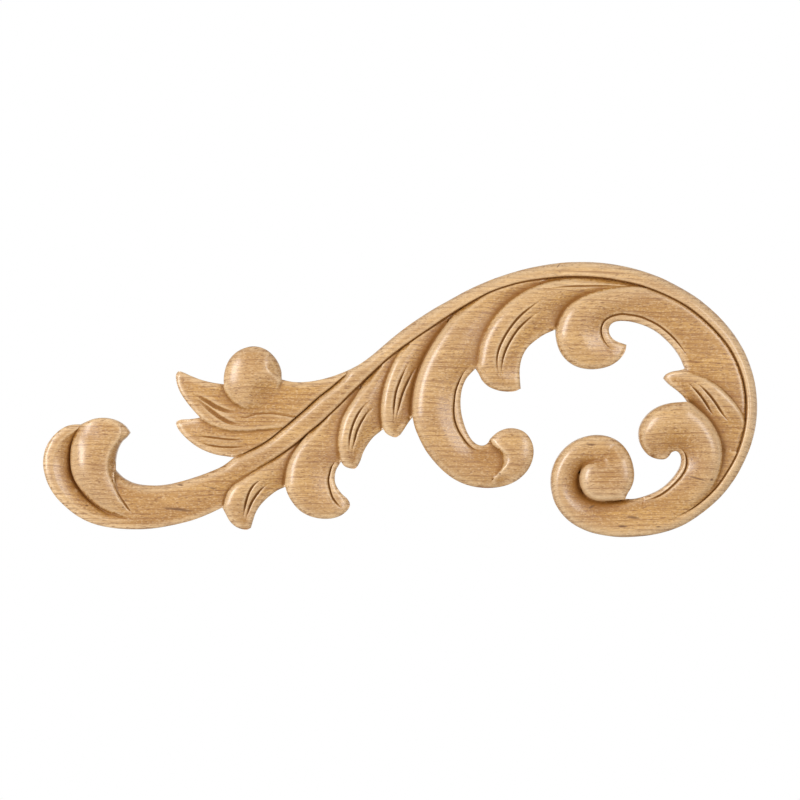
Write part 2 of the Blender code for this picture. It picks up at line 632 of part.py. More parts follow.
# C-shaped band with the volute at its upper end
leaf(
    back=[
        (128.5, -42.2), (133.6, -36.7), (138.2, -30), (141.5, -23.3), (143.9, -16.6), (145.1, -9.8),
        (145.5, -2.3), (144.5, 6.5), (142, 14.9), (137.8, 22.5), (131.9, 29.4), (125.1, 35.5),
        (117.6, 40.8), (110, 44.6), (102.9, 46.8), (95.7, 47.3), (88.2, 46.6), (81.4, 45), (75.6, 42.6),
        (70.5, 38.9), (67.4, 34.3), (65.7, 29.4), (65.4, 26.3), (66.1, 22.6), (68.1, 18.7), (70.8, 15.8),
        (74.7, 13.5), (79.8, 12.7), (84.8, 13.1), (89, 14.6), (92.2, 17), (95, 23),
    ],
    belly=[
        (112.5, -44.3), (118.4, -33.8), (121.8, -23.3), (123.5, -12.8), (123, -3.5), (121.8, 5.7),
        (119.7, 13), (117.8, 17.4), (115.2, 21.3), (111.9, 25.1), (107.8, 28.4), (104, 30.6), (99.8, 32.2),
        (95.7, 32.9), (92, 33), (89.3, 32.2), (87.8, 30.7), (87.7, 28.7), (88.4, 26.5), (90.1, 24.6),
        (95, 23),
    ],
    back_heights=(8.8, 8.6, 8.6, 8.8, 9.4, 11.0, 14.4, 14.8, 13.4, 10.6),
    belly_heights=(8.8, 8.8, 8.8, 9.4, 9.8, 9.8, 9.8, 9.8, 9.6),
    crown=0.03,
    round_widths=(2.4, 2.4, 2.4, 2.4, 2.4, 4, 11, 13.5, 12, 6),
    fall=0.4,
)

# Spur, the barbed leaf inside the band
leaf(
    back=[
        (146.2, -10.3), (143.2, -5.6), (140.3, -1.4), (136.9, 2.3), (133.1, 5.7), (128.9, 8.4),
        (124.7, 10.4), (120.9, 11.8), (118, 12.4), (114.2, 11.7), (111.7, 10.5), (110.6, 8.9),
    ],
    belly=[
        (131.9, -29.6), (130.6, -22), (127.3, -12.8), (123.9, -6.1), (120.7, -0.9), (118.9, 1.5),
        (116.5, 3.7), (113.1, 6.3), (110.6, 8.9),
    ],
    back_heights=(10.4, 11.8, 12.2, 12.0, 10.6, 8.6),
    belly_heights=(8.8, 7.4, 7.4, 8.0, 8.8, 8.6),
    crown=0.04,
    rise=0.25,
    round_widths=(3, 4, 4, 4, 3.5, 3),
    fades=[(140.3, -18.7, 25.2)],
)

# Lower end of the band, rolled into a spiral
leaf(
    back=[
        (147, -23.7), (143.2, -26.7), (141.4, -31.7), (137.9, -37.2), (133.7, -42), (128.9, -45.9),
        (123.8, -50), (118.4, -53), (112.7, -55.3), (105.8, -57), (98.2, -57.7), (91.5, -57.8),
        (85.7, -57.2), (79.9, -55.8), (74.7, -53.7), (71, -51.2), (67.7, -47.8), (65.4, -44),
        (63.8, -39.7), (63.2, -35.1), (63.7, -30), (65.5, -25.4), (68.7, -20.8), (73.4, -17.3),
        (78, -15.5), (83.1, -14.9), (88.3, -15.7), (92.6, -18.3), (95.4, -21.9), (97.2, -26.2),
        (98.1, -30.4), (98, -34), (94.3, -41.7),
    ],
    belly=[
        (135.2, -20.4), (128.5, -26.2), (121.8, -29.6), (118.4, -27.9), (116.2, -30.7), (114.5, -33.1),
        (112, -35.6), (109.1, -37.9), (105.5, -39.7), (100.7, -41.4), (97, -41.9), (94.3, -42),
        (90.3, -42.6), (85.2, -43), (80.6, -42.1), (77.2, -39.7), (75.4, -35.9), (75.1, -31.9),
        (76, -29.2), (77.7, -28.3), (79.3, -30.9), (81, -35.5), (84.8, -39.3), (89.4, -41), (94.3, -41.7),
    ],
    back_heights=(8.8, 8.8, 10.0, 10.8, 11.4, 12.2, 12.8, 12.4, 10.6),
    belly_heights=(8.8, 9.4, 9.2, 8.6, 8.4, 9.0, 12.0, 12.2, 10.0),
    crown=0.06,
    round_widths=(3, 3, 3.6, 4, 4.4, 4.6, 4.6, 4.4, 3.6),
    fall=0.8,
)

# Hollow between the spiral's outer edge and its ball
hollow(
    arris=[
        (85.6, -20.1), (81.9, -20.6), (78.1, -21.6), (74.3, -23.5), (71.1, -25.8), (69, -28.3),
        (67.7, -31.7), (67.3, -35.5), (68, -39.3), (69.9, -42.6), (73, -45.6), (77.2, -47.3),
        (82.3, -47.3),
    ],
    foot=[
        (86.5, -25.8), (84, -26), (81.4, -26.7), (79.1, -28.1), (77.2, -30.2), (76.4, -33), (76.4, -35.9),
        (77.7, -38.4), (79.8, -40.5), (83.1, -42), (86.5, -42.6),
    ],
    depths=(1.2, 2.6, 3.6, 3.9, 3.6, 2.4, 0.8),
    bow=-0.7,
    fades=[(85.6, -23.7, 10.9), (92.4, -23.7, 10.9), (86.5, -45.6, 12.6)],
)

# Ball in the middle of the spiral
ball(
    centre=(86.3, -33.2),
    rim=[
        (98.1, -30.4), (97.2, -26.2), (95.4, -21.9), (92.6, -18.3), (88.6, -19.9), (84.8, -23.7),
        (79.8, -25.9), (76.8, -28.3), (75.4, -32.1), (75.8, -36.3), (77.9, -39.9), (81.2, -42),
        (86.1, -42.6), (90.7, -42.2), (94.3, -41.7), (95.4, -39.4), (96.8, -37.2), (98, -34),
    ],
    edge=10.2,
    top=15.0,
    flatness=4,
    fades=[(84, -24.1, 5.9), (87.7, -21.6, 7.6), (91.9, -19.1, 7.6)],
)

# Curl, the leaf rolled over inside the band
leaf(
    back=[
        (115.9, -48.9), (122.2, -46), (126.8, -42.2), (130.4, -38), (133.1, -33), (134.6, -27.7),
        (135, -22.5), (134.3, -17.4), (132.3, -12.8), (129.4, -8.4), (125.1, -4.2), (121.2, -1.3),
        (118, -1.1), (113.4, -1.4), (109, -2.7), (105.1, -5.1), (102, -8.6), (100.5, -12.2),
        (100.2, -15.3), (100.8, -18.5), (102.7, -21.8), (105.8, -24.2),
    ],
    belly=[
        (100.8, -47.3), (102.5, -41.4), (105.5, -39.7), (109.1, -37.9), (112, -35.6), (114.5, -33.1),
        (116.2, -30.7), (117.6, -28.5), (118.3, -26), (118.1, -23.8), (117.1, -22.2), (115.5, -21.7),
        (113.9, -22.3), (112.9, -23.7), (111.3, -25), (108.3, -25.1), (105.8, -24.2),
    ],
    back_heights=(9.4, 11.2, 13.2, 14.4, 14.8, 14.6, 14.0, 11.6),
    belly_heights=(9.2, 9.4, 9.8, 10.0, 10.0, 10.2),
    crown=0.09,
    rise=0.25,
    round_widths=(3, 5, 8, 10.5, 11, 12, 13, 8),
    fall=0.4,
    fades=[(100.8, -47.3, 12.6), (109.2, -48.1, 16)],
)

# Stem and rib, from the tail round the outside of the band
leaf(
    back=[
        (-127, -17), (-124.5, -23.7), (-122, -27.9), (-119.8, -29.6), (-117.6, -32), (-114.7, -34.1),
        (-111, -35.4), (-105.1, -36.3), (-99.1, -35.8), (-93, -34.8), (-87.2, -32.9), (-81, -30.6),
        (-74.8, -28), (-69.9, -24.4), (-63.2, -21.4), (-58.1, -18.7), (-54.3, -16.2), (-49.7, -12.4),
        (-46.3, -9.4), (-43, -6.7), (-39.6, -3.8), (-34.6, 0.7), (-28.7, 5.3), (-23.6, 9.8), (-21.3, 12.7),
        (-15.7, 15.5), (-11.3, 19.2), (-7.1, 22.7), (-2.5, 26.6), (2.7, 30.4), (8.2, 34.4), (14.1, 38.1),
        (20.9, 42), (27.1, 45.3), (32.5, 48.1), (38.1, 50.2), (44, 52.5), (50.3, 54.2), (57, 55.8),
        (62.9, 56.9), (69.7, 57.5), (75.6, 57.9), (81.4, 57.7), (86.9, 57.2), (92.4, 56.3), (98.3, 55),
        (104.2, 53.3), (109.9, 50.9), (115.3, 48.4), (120.3, 45.6), (125.7, 42.1), (130.3, 38.1),
        (134.5, 34.1), (138.5, 29.7), (141.7, 25.4), (144.5, 20.1), (146.8, 15.1), (148.4, 9.4),
        (149.6, 3.1), (150, -2.7), (149.7, -8.6), (148.8, -14.4), (146.9, -20.1), (144.7, -26),
        (141.4, -31.7), (137.9, -37.2), (133.7, -42), (128.9, -45.9), (123.8, -50), (118.4, -53),
        (112.7, -55.3), (105.8, -57),
    ],
    belly=[
        (-132.9, -10.3), (-137.1, -10.5), (-140.2, -11.2), (-143.3, -12.9), (-146.5, -16.1),
        (-148.4, -19.5), (-149.7, -23.1), (-149.9, -27.1), (-149.4, -31.4), (-147.4, -36.6),
        (-144.6, -40.7), (-140.5, -45.2), (-135, -49.3), (-129.2, -52.2), (-122, -53.8), (-113.6, -54.5),
        (-105.2, -54.3), (-96.8, -53.1), (-87.1, -50.5), (-80.3, -48), (-74.8, -45.4), (-73.7, -41.7),
        (-72.4, -38.6), (-69.9, -35.8), (-66.1, -33.3), (-61.5, -30.3), (-58.1, -28.1), (-53.9, -25.5),
        (-50.1, -23), (-46.3, -20.4), (-42.1, -17), (-38.4, -13.8), (-33.7, -10), (-29.5, -6.2),
        (-25.3, -2.1), (-21.1, 2.2), (-16.9, 6.3), (-12.7, 10.3), (-8.5, 14.2), (-4.3, 17.9), (0.7, 21.8),
        (6.6, 25.9), (12.5, 29.9), (18.8, 34.2), (25.1, 38.2), (31.4, 41.8), (37.7, 45), (44, 47.3),
        (50.8, 49.2), (58.7, 50.5), (67.1, 51.4), (75.6, 51.6), (84, 51.1), (92.4, 49.8), (100.8, 47.9),
        (107.1, 45.6), (113.4, 42.9), (119.7, 39.5), (126, 34.9), (132.3, 29), (137.8, 22.4),
        (141.5, 15.7), (144.1, 8.2), (145.3, 0.7), (145.3, -6.5), (144.5, -12.8), (142.9, -18.9),
        (140.7, -24.4), (137.3, -30.4), (132.7, -36.9), (127.3, -42.2), (121.8, -46.2), (115.5, -49.4),
        (105.8, -52.7),
    ],
    back_heights=(9.6, 9.2, 9.6, 10.2, 10.4, 9.4, 9.0, 9.0, 9.0, 9.0, 9.0, 9.0, 9.0, 9.0),
    belly_heights=(9.6, 11.2, 10.2, 9.4, 9.8, 10.2, 10.2, 10.2, 10.2, 10.2, 10.2, 10.2, 10.2, 9.6),
    crown=0.06,
    round_widths=(3.4, 3.4),
    fall=0.88,
    fades=[(105.8, -54.8, 31.5)],
)

# Hollow between the tail's outer edge and its inner roll
hollow(
    arris=[
        (-133.8, -11.1), (-137, -13.2), (-141, -15.7), (-143.9, -19.3), (-145.7, -23.3), (-146.3, -27.1),
        (-145.7, -31.3), (-144.1, -35.9), (-141.3, -39.9), (-137.8, -43.5), (-132.9, -46.8), (-127, -49.4),
        (-120.3, -50.8), (-112.7, -50.8),
    ],
    foot=[
        (-133.8, -11.1), (-135, -13.2), (-136.5, -16.8), (-137.3, -20.8), (-137.5, -25), (-137.1, -29.6),
        (-135.7, -33.8), (-133.1, -37.4), (-130.2, -40.5), (-126.8, -43.5), (-122.8, -46), (-117.8, -48.5),
        (-112.7, -50.8),
    ],
    depths=(2.4, 4.4, 5.8, 6.0, 5.4, 4.0, 1.2),
    bow=-0.3,
    fades=[(-111.1, -50.2, 14.3)],
)

# Inner roll of the tail
leaf(
    back=[
        (-134.4, -10.5), (-135.9, -13.4), (-137.5, -16.8), (-138.4, -20.8), (-138.6, -25), (-138.2, -29.6),
        (-136.7, -34), (-134.2, -37.8), (-131.2, -41.1), (-127.9, -44.1), (-123.7, -46.8), (-118.6, -49.4),
        (-111.9, -50.2),
    ],
    belly=[
        (-134.4, -10.5), (-131.6, -9.2), (-128.7, -8.1), (-125.4, -7.7), (-122, -8), (-118.8, -9.1),
        (-115.7, -11.1), (-113.6, -13.9), (-114.8, -15.6), (-117, -17.7), (-118.8, -21.2), (-119.7, -25.4),
        (-120.3, -29.6), (-120.1, -33.8), (-118.8, -37.6), (-116.7, -41.4), (-114.2, -45.2),
        (-111.9, -50.2),
    ],
    back_heights=(11.2, 13.2, 13.8, 13.4, 12.4, 9.8),
    belly_heights=(10.6, 11.4, 11.6, 11.8, 11.8, 11.4, 10.0),
    crown=0.09,
    round_widths=(5, 9, 10, 10, 8, 3),
    fall=0.45,
    fades=[(-110.6, -50.2, 14.3)],
)

# Bevel along the roll's right edge
hollow(
    arris=[
        (-119.1, -9), (-117.6, -12), (-118, -15.7), (-120.1, -18.8), (-122, -22.2), (-123, -26.1),
        (-122.9, -30.4), (-120.9, -35.3),
    ],
    foot=[
        (-118.2, -9), (-113.6, -13.9), (-114.8, -15.6), (-117, -17.7), (-118.8, -21.2), (-119.7, -25.4),
        (-120.3, -29.6), (-120.5, -35.3),
    ],
    depths=(0.2, 1.8, 2.3, 2.4, 2.0, 0.8),
    bow=0.1,
)

# Groove above the rib
groove(RIB, [
    (-69, -24.4), (-63.2, -21.4), (-58.1, -18.7), (-54.3, -16.2), (-49.7, -12.4), (-46.3, -9.4),
    (-43, -6.7), (-39.6, -3.8), (-34.6, 0.7), (-28.7, 5.3), (-23.6, 9.8), (-21.1, 12),
])
# Groove below the rib and inside the rim
groove(RIM, [
    (-63.2, -31.5), (-58.1, -28.1), (-53.9, -25.5), (-50.1, -23), (-46.3, -20.4), (-42.1, -17),
    (-38.4, -13.8), (-33.7, -10), (-29.5, -6.2), (-25.3, -2.1), (-21.1, 2.2), (-16.9, 6.3), (-12.7, 10.3),
    (-8.5, 14.2), (-4.3, 17.9), (0.7, 21.8), (6.6, 25.9), (12.5, 29.9), (18.8, 34.2), (25.1, 38.2),
    (31.4, 41.8), (37.7, 45), (44, 47.3), (50.8, 49.2), (58.7, 50.5), (67.1, 51.4), (75.6, 51.6),
    (84, 51.1), (92.4, 49.8), (100.8, 47.9), (107.1, 45.6), (113.4, 42.9), (119.7, 39.5), (126, 34.9),
    (132.3, 29), (137.8, 22.4), (141.5, 15.7), (144.1, 8.2), (145.3, 0.7), (145.3, -6.5), (144.5, -12.8),
    (142.9, -18.9), (140.7, -24.4), (137.3, -30.4), (132.7, -36.9), (127.3, -42.2), (121.8, -46.2),
    (115.5, -49.1), (109.2, -51),
])
# Crease at the tail roll's right edge
groove(LINE, [
    (-120.5, -34), (-118.9, -38.2), (-116.7, -42.2), (-114.2, -45.8), (-111.3, -48.9),
])
# Crease between the tail's two rolls
groove(CREASE, [
    (-135, -12), (-136.7, -15.1), (-138.4, -19.1), (-138.9, -24.6), (-138.6, -29.6), (-137, -34.2),
    (-134.6, -38), (-131.7, -41.4), (-128.3, -44.4), (-124.1, -47.3), (-119.1, -49.6),
])
# Veins of the first small leaf
groove(VEIN, [
    (-57.7, -33.4), (-61.1, -35.5), (-63.2, -38.4), (-64.6, -42.2), (-65.5, -46.4), (-65.7, -49.8),
])
groove(VEIN, [
    (-55.2, -35.3), (-58.1, -37.4), (-60.6, -40.3), (-62.7, -43.7), (-64, -47.3), (-64.8, -50.6),
])
# Bead along the hooked leaf's inner edge
groove(BEAD, [
    (-26.6, -25.4), (-28.7, -27.9), (-29.7, -30.9), (-30.2, -34.2), (-29.5, -38), (-28.3, -41.4),
    (-26.2, -44.1), (-24.1, -46),
])
# Veins of the second small leaf
groove(VEIN, [
    (-12.7, -0.2), (-15.7, -3.1), (-17.8, -6.1), (-19.6, -9.8), (-20.9, -14.1), (-21.5, -18.3),
    (-21.2, -22.9),
])
groove(VEIN, [
    (-11, -3.3), (-13.6, -5.2), (-16.1, -8.8), (-18.2, -13.2), (-19.4, -17.8), (-20.3, -22.5),
])
# Veins of the third small leaf
groove(VEIN, [
    (3.7, 15.6), (1.6, 11.8), (-0.4, 7.4), (-1.8, 3.2), (-2.6, -1.9), (-2.8, -6.1), (-2.4, -10.3),
])
groove(VEIN, [
    (7, 13.9), (4.5, 10.3), (2, 5.3), (0.3, 0.7), (-0.9, -4.2), (-1.8, -8.6),
])
# Bead along the crook's inner edge
groove(BEAD, [
    (28.9, 13.9), (26.4, 11), (24.7, 7.8), (23.2, 3.6), (22.6, -0.6), (22.4, -4.8), (22.8, -8.6),
    (24.1, -12.4), (26, -15.7), (28.3, -18.7), (31, -20.8), (34.8, -21.4),
])
# Veins of the blade
groove(VEIN, [
    (61.3, 43.5), (55.4, 39.3), (50.3, 35.1), (46.1, 30.1), (42.8, 24.6), (40.9, 19.6), (40.5, 14.9),
    (41.3, 11.2), (42.8, 8.2),
])
groove(VEIN, [
    (59.2, 37.6), (54.5, 34.3), (49.9, 30.1), (46.1, 24.6), (43.6, 19.2), (42.6, 14.1), (42.9, 9.1),
])
# Line between the blade's root and the band
groove(LINE, [
    (60.8, 46.7), (69.2, 47.4), (79.8, 47.7), (89, 47.7), (96.6, 47.5),
])
# Bead along the band's and volute's inner edge
groove(BEAD, [
    (121.4, 16.6), (118.8, 20.8), (115.9, 24.6), (112.5, 28), (108.3, 31.2), (104.1, 33.4), (100.8, 34.7),
    (96.6, 35.5), (92.4, 35.8), (88.2, 34.7), (85.6, 32.9), (84.4, 30.3), (84.4, 27.6), (85.6, 24.6),
    (87.7, 22.1), (90.7, 20),
])
# Veins of the spur
groove(VEIN, [
    (120.5, 7), (122.6, 5.3), (125.1, 2.8), (127.7, -0.6), (129.8, -4), (131.9, -7.7),
])
groove(VEIN, [
    (123.5, 7.2), (126.4, 5.3), (129.4, 2.3), (132.3, -1.4), (134.8, -5.2), (138.2, -9.8),
])
# Bead along the curl's inner edge
groove(BEAD, [
    (116.3, -19.9), (118.4, -21.2), (119.8, -23.3), (120.2, -26.7), (119.5, -29.6), (118.2, -31.9),
    (115.9, -34.6), (112.5, -37.8), (109.2, -40.1), (105.8, -41.6), (102, -42.6),
])
# Flutes of the upper fern leaf
groove(FLUTE, [
    (-88.4, 3.6), (-84.6, 1.3), (-80.8, -1), (-76.6, -3.5), (-72, -5), (-66.5, -5.2),
])
groove(FLUTE, [
    (-86.7, 1.1), (-82.9, -1.9), (-79.1, -5), (-74.9, -8), (-70.3, -10.1), (-64.4, -10.9),
])
# Flutes of the lower fern leaf
groove(LINE, [
    (-88.4, -15.3), (-82.9, -15.5), (-77.4, -16.2), (-70.7, -16.8), (-63.2, -16.6),
])
groove(LINE, [
    (-85.8, -17.4), (-82.1, -18.7), (-77.4, -19.7), (-71.6, -20.1), (-63.2, -19.5),
])

# The points of the face in plan, and the lines that its facets follow.
places = []
edges = []


def needed(line):
    """The points of the line, by number, that its turns and the longest edge need."""
    kept = [0]
    way = np.diff(line, axis=0)
    heading = np.unwrap(np.arctan2(way[:, 1], way[:, 0]))
    for i in range(1, len(line) - 1):
        turned = abs(heading[i] - heading[kept[-1]])
        if turned > LINE_TURN or np.linalg.norm(line[i] - line[kept[-1]]) > LINE_STEP:
            kept.append(i)
    if len(kept) > 1 and np.linalg.norm(line[-1] - line[kept[-1]]) < 0.5:
        kept.pop()
    return kept + [len(line) - 1]


def follow(line):
    """Lets the facets follow the line."""
    start = len(places)
    places.extend(line.tolist())
    edges.extend((start + i, start + i + 1) for i in range(len(line) - 1))


def stretches(line, good):
    """The stretches of the line in which every point is good."""
    breaks = np.flatnonzero(np.diff(good.astype(int))) + 1
    for stretch, fits in zip(np.split(line, breaks), np.split(good, breaks)):
        if fits[0] and len(stretch) > 3:
            yield stretch


# The outline.
for run in outline_runs:
    follow(run[needed(run)[:-1]])
edges = [(i, (i + 1) % len(places)) for i in range(len(places))]
outline = np.array(places)
closed_outline = np.vstack([outline, outline[:1]])


def clear(line, gap=CLEARANCE):
    """Which points of the line lie within the outline and well clear of it."""
    return inside(line, outline) & (nearest(line, closed_outline)[0] > gap)


# The shoulder where the rounding at the outline ends.
for run in outline_runs:
    shoulder = run - turned_right(run) * SHOULDER
    for stretch in stretches(shoulder, clear(shoulder, 0.9 * SHOULDER)):
        follow(stretch[needed(stretch)])

# The edge and the foot of each wall where a leaf lies over another.
cut_lines = [line for _, line in cuts]
for number, form in enumerate(forms):
    if form["kind"] == "hollow":
        line = form["arris"]
        top = (surface(line + 0.05)[1] == number) | (surface(line - 0.05)[1] == number)
        for stretch in stretches(line, top & clear(line)):
            follow(stretch[needed(stretch)])
        continue
    for line in [form["rim"]] if form["kind"] == "ball" else [form["back"], form["belly"]]:
        inward = turned_right(line)
        inward *= np.where(inside(line + 0.1 * inward, form["loop"]), 1, -1)[:, None]
        top, foot = line + 0.06 * inward, line - WALL_RUN * inward
        top_height, owner = surface(top)
        good = (owner == number) & (np.abs(top_height - surface(foot)[0]) > LEAST_WALL_HEIGHT)
        good &= clear(top) & clear(foot)
        for cut in cut_lines:
            good &= nearest(line, cut)[0] > WALL_TO_CUT
        for stretch in stretches(np.hstack([top, foot]), good):
            kept = stretch[needed(stretch[:, :2])]
            follow(kept[:, :2])
            follow(kept[:, 2:])

# The bottom and both rims of each cut.
for (width, depth, run_out), line in cuts:
    share = np.linspace(0, 1, len(line))
    full = ease(np.minimum(share, 1 - share) / run_out)
    half = (width / 2 * (0.4 + 0.6 * full))[:, None]
    side = turned_right(line)
    for shift in (-1, 0, 1):
        moved = (line + shift * half * side)[needed(line)]
        for stretch in stretches(moved, clear(moved)):
            follow(stretch)

# Points in between, in rows.
tree = KDTree(len(places))
for i, place in enumerate(places):
    tree.insert((*place, 0), i)
tree.balance()
low, high = outline.min(axis=0), outline.max(axis=0)
for row, z in enumerate(np.arange(low[1], high[1], SURFACE_STEP * 0.866)):
    xs = np.arange(low[0] + (row % 2) * SURFACE_STEP / 2, high[0], SURFACE_STEP)
    between = np.stack([xs, np.full(len(xs), z)], axis=1)
    between = between[clear(between, 1.2)]
    places.extend(place for place in between.tolist() if tree.find((*place, 0))[2] > 0.45 * SURFACE_STEP)

# The carved face.
plan, _, triangles, *_ = delaunay_2d_cdt([Vector(place) for place in places], edges, [], 1, 1e-4)
plan = np.array([tuple(point) for point in plan])
triangles = np.array(triangles)
heights, _ = surface(plan)

# The flat back and the sides, from the edges that only one triangle has.
ways = np.concatenate([triangles[:, [0, 1]], triangles[:, [1, 2]], triangles[:, [2, 0]]])
known = {tuple(way) for way in ways.tolist()}
border = {a: b for a, b in known if (b, a) not in known}
loop = [min(border)]
while border[loop[-1]] != loop[0]:
    loop.append(border[loop[-1]])
count = len(plan)
behind = {front: count + i for i, front in enumerate(loop)}
back_faces = delaunay_2d_cdt(
    [Vector(plan[i]) for i in loop], [(i, (i + 1) % len(loop)) for i in range(len(loop))], [], 1, 1e-5)[2]
points = [(x, -height, z) for (x, z), height in zip(plan, heights)]
points += [(plan[i][0], 0.0, plan[i][1]) for i in loop]
faces = triangles.tolist()
faces += [[count + i for i in face[::-1]] for face in back_faces]
faces += [[b, a, behind[a], behind[b]] for a, b in border.items()]

mesh = bpy.data.meshes.new(NAME)
mesh.from_pydata((np.array(points) * MM).tolist(), [], faces)
mesh.validate()
carved = bpy.data.objects.new(NAME, mesh)
group = bpy.data.collections.new(NAME)
bpy.context.scene.collection.children.link(group)
group.objects.link(carved)

wood = bpy.data.materials.new("carved_wood")
wood.use_nodes = True
shader = wood.node_tree.nodes["Principled BSDF"]
shader.inputs["Base Color"].default_value = (0.62, 0.40, 0.22, 1)
shader.inputs["Roughness"].default_value = 0.42
mesh.materials.append(wood)
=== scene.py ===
import bpy
import numpy as np
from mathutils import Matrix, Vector
from mathutils.geometry import delaunay_2d_cdt
from mathutils.kdtree import KDTree


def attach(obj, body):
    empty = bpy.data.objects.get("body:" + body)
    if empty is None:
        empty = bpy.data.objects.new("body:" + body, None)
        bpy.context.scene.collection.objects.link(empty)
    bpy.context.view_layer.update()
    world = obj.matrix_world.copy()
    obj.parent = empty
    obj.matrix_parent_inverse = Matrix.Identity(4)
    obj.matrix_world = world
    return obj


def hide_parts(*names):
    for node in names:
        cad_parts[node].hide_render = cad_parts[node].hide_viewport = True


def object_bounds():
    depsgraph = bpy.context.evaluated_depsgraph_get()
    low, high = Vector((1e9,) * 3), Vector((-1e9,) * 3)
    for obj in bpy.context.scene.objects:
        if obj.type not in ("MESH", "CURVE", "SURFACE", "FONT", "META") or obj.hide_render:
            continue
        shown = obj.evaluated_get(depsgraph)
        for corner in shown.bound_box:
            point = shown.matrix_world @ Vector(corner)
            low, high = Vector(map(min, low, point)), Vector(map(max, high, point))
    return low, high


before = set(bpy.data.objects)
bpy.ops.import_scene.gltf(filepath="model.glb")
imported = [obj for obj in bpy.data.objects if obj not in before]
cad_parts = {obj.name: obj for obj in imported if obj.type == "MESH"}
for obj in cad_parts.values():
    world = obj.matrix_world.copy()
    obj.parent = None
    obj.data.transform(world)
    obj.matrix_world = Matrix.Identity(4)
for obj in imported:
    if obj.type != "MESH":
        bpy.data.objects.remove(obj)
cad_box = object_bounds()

# The applique: one piece of pale hardwood, sawn to its outline on a flat back and carved on the face.
# Everything is drawn in plan, in millimetres from the middle of the back, x to the right and z up,
# and each form lies over the ones before it. Its face looks along -Y.
MM = 0.001
NODE = "acanthus_applique"

# Height of the wood above the back where no leaf covers it.
GROUND_HEIGHT = 8.2

# A leaf's hidden edge falls away over this width, by this much.
BELLY_ROUND_WIDTH = 1.4
BELLY_ROUND_DROP = 1.2

# The outermost strip of each rounding that is left out, so that edges stay crisp.
LIP = 0.15

# A leaf that lies over another ends in a steep wall with this run in plan.
WALL_RUN = 0.35
LEAST_WALL_HEIGHT = 0.06

# Fineness of the carved face.
CURVE_STEP = 0.5
LINE_STEP = 0.55
SURFACE_STEP = 0.6
SHOULDERS = (0.22, 0.6, 1.2)
CLEARANCE = 0.15

forms = []


def smooth(points, step):
    """A smooth curve through the points, as evenly spaced points."""
    knots = np.array(points, float)
    knots = np.vstack([2 * knots[0] - knots[1], knots, 2 * knots[-1] - knots[-2]])
    gaps = np.sqrt(np.linalg.norm(np.diff(knots, axis=0), axis=1))
    times = np.concatenate([[0], np.cumsum(gaps)])
    pieces = []
    for i in range(1, len(knots) - 2):
        (t0, t1, t2, t3), (p0, p1, p2, p3) = times[i - 1:i + 3], knots[i - 1:i + 3]
        t = np.linspace(t1, t2, 13)[:-1, None]
        a1 = p0 + (p1 - p0) * (t - t0) / (t1 - t0)
        a2 = p1 + (p2 - p1) * (t - t1) / (t2 - t1)
        a3 = p2 + (p3 - p2) * (t - t2) / (t3 - t2)
        b1 = a1 + (a2 - a1) * (t - t0) / (t2 - t0)
        b2 = a2 + (a3 - a2) * (t - t1) / (t3 - t1)
        pieces.append(b1 + (b2 - b1) * (t - t1) / (t2 - t1))
    dense = np.vstack(pieces + [knots[-2:-1]])
    along = np.concatenate([[0], np.cumsum(np.linalg.norm(np.diff(dense, axis=0), axis=1))])
    wanted = np.linspace(0, along[-1], max(2, round(along[-1] / step) + 1))
    return np.stack([np.interp(wanted, along, dense[:, k]) for k in range(dense.shape[1])], axis=1)


def nearest(places, line):
    """Distance from each place to the line, and the share of the line's length at the nearest point."""
    tree = KDTree(len(line))
    for i, point in enumerate(line):
        tree.insert((*point, 0), i)
    tree.balance()
    closest = np.array([tree.find((*place, 0))[1] for place in places], int)
    lengths = np.linalg.norm(np.diff(line, axis=0), axis=1)
    starts = np.concatenate([[0], np.cumsum(lengths)])
    best = np.full(len(places), np.inf)
    share = np.zeros(len(places))
    for first in (closest - 1, closest):
        first = np.clip(first, 0, len(line) - 2)
        way = (line[first + 1] - line[first]) / lengths[first, None]
        from_start = places - line[first]
        t = np.clip((from_start * way).sum(axis=1), 0, lengths[first])
        distance = np.linalg.norm(from_start - t[:, None] * way, axis=1)
        closer = distance < best
        best[closer] = distance[closer]
        share[closer] = (starts[first[closer]] + t[closer]) / starts[-1]
    return best, share


def inside(places, loop):
    """Which places lie inside the closed loop."""
    x, z = places.T
    within = np.zeros(len(places), bool)
    for (x1, z1), (x2, z2) in zip(loop, np.roll(loop, -1, axis=0)):
        if z1 != z2:
            within ^= ((z1 > z) != (z2 > z)) & (x < (x2 - x1) * (z - z1) / (z2 - z1) + x1)
    return within


def ease(t):
    """0 to 1 with a soft start and a soft end."""
    t = np.clip(t, 0, 1)
    return t * t * (3 - 2 * t)


def spread(heights, share):
    """Heights given evenly along a line, read at shares of its length."""
    stations = np.linspace(0, 100, len(heights))
    curve = smooth(list(zip(stations, heights)), 1)
    return np.interp(share * 100, curve[:, 0], curve[:, 1])


def rounded_drop(distance, width, drop):
    """How far the surface has dropped at this distance from an edge: a quarter of an ellipse."""
    rest = 1 - np.clip(distance / width, 0, 1)
    return drop * (1 - np.sqrt(1 - rest ** 2))


def turned_right(line):
    """Unit vectors to the right of the line's way, at each of its points."""
    way = np.gradient(line, axis=0)
    way /= np.linalg.norm(way, axis=1)[:, None]
    return np.stack([way[:, 1], -way[:, 0]], axis=1)


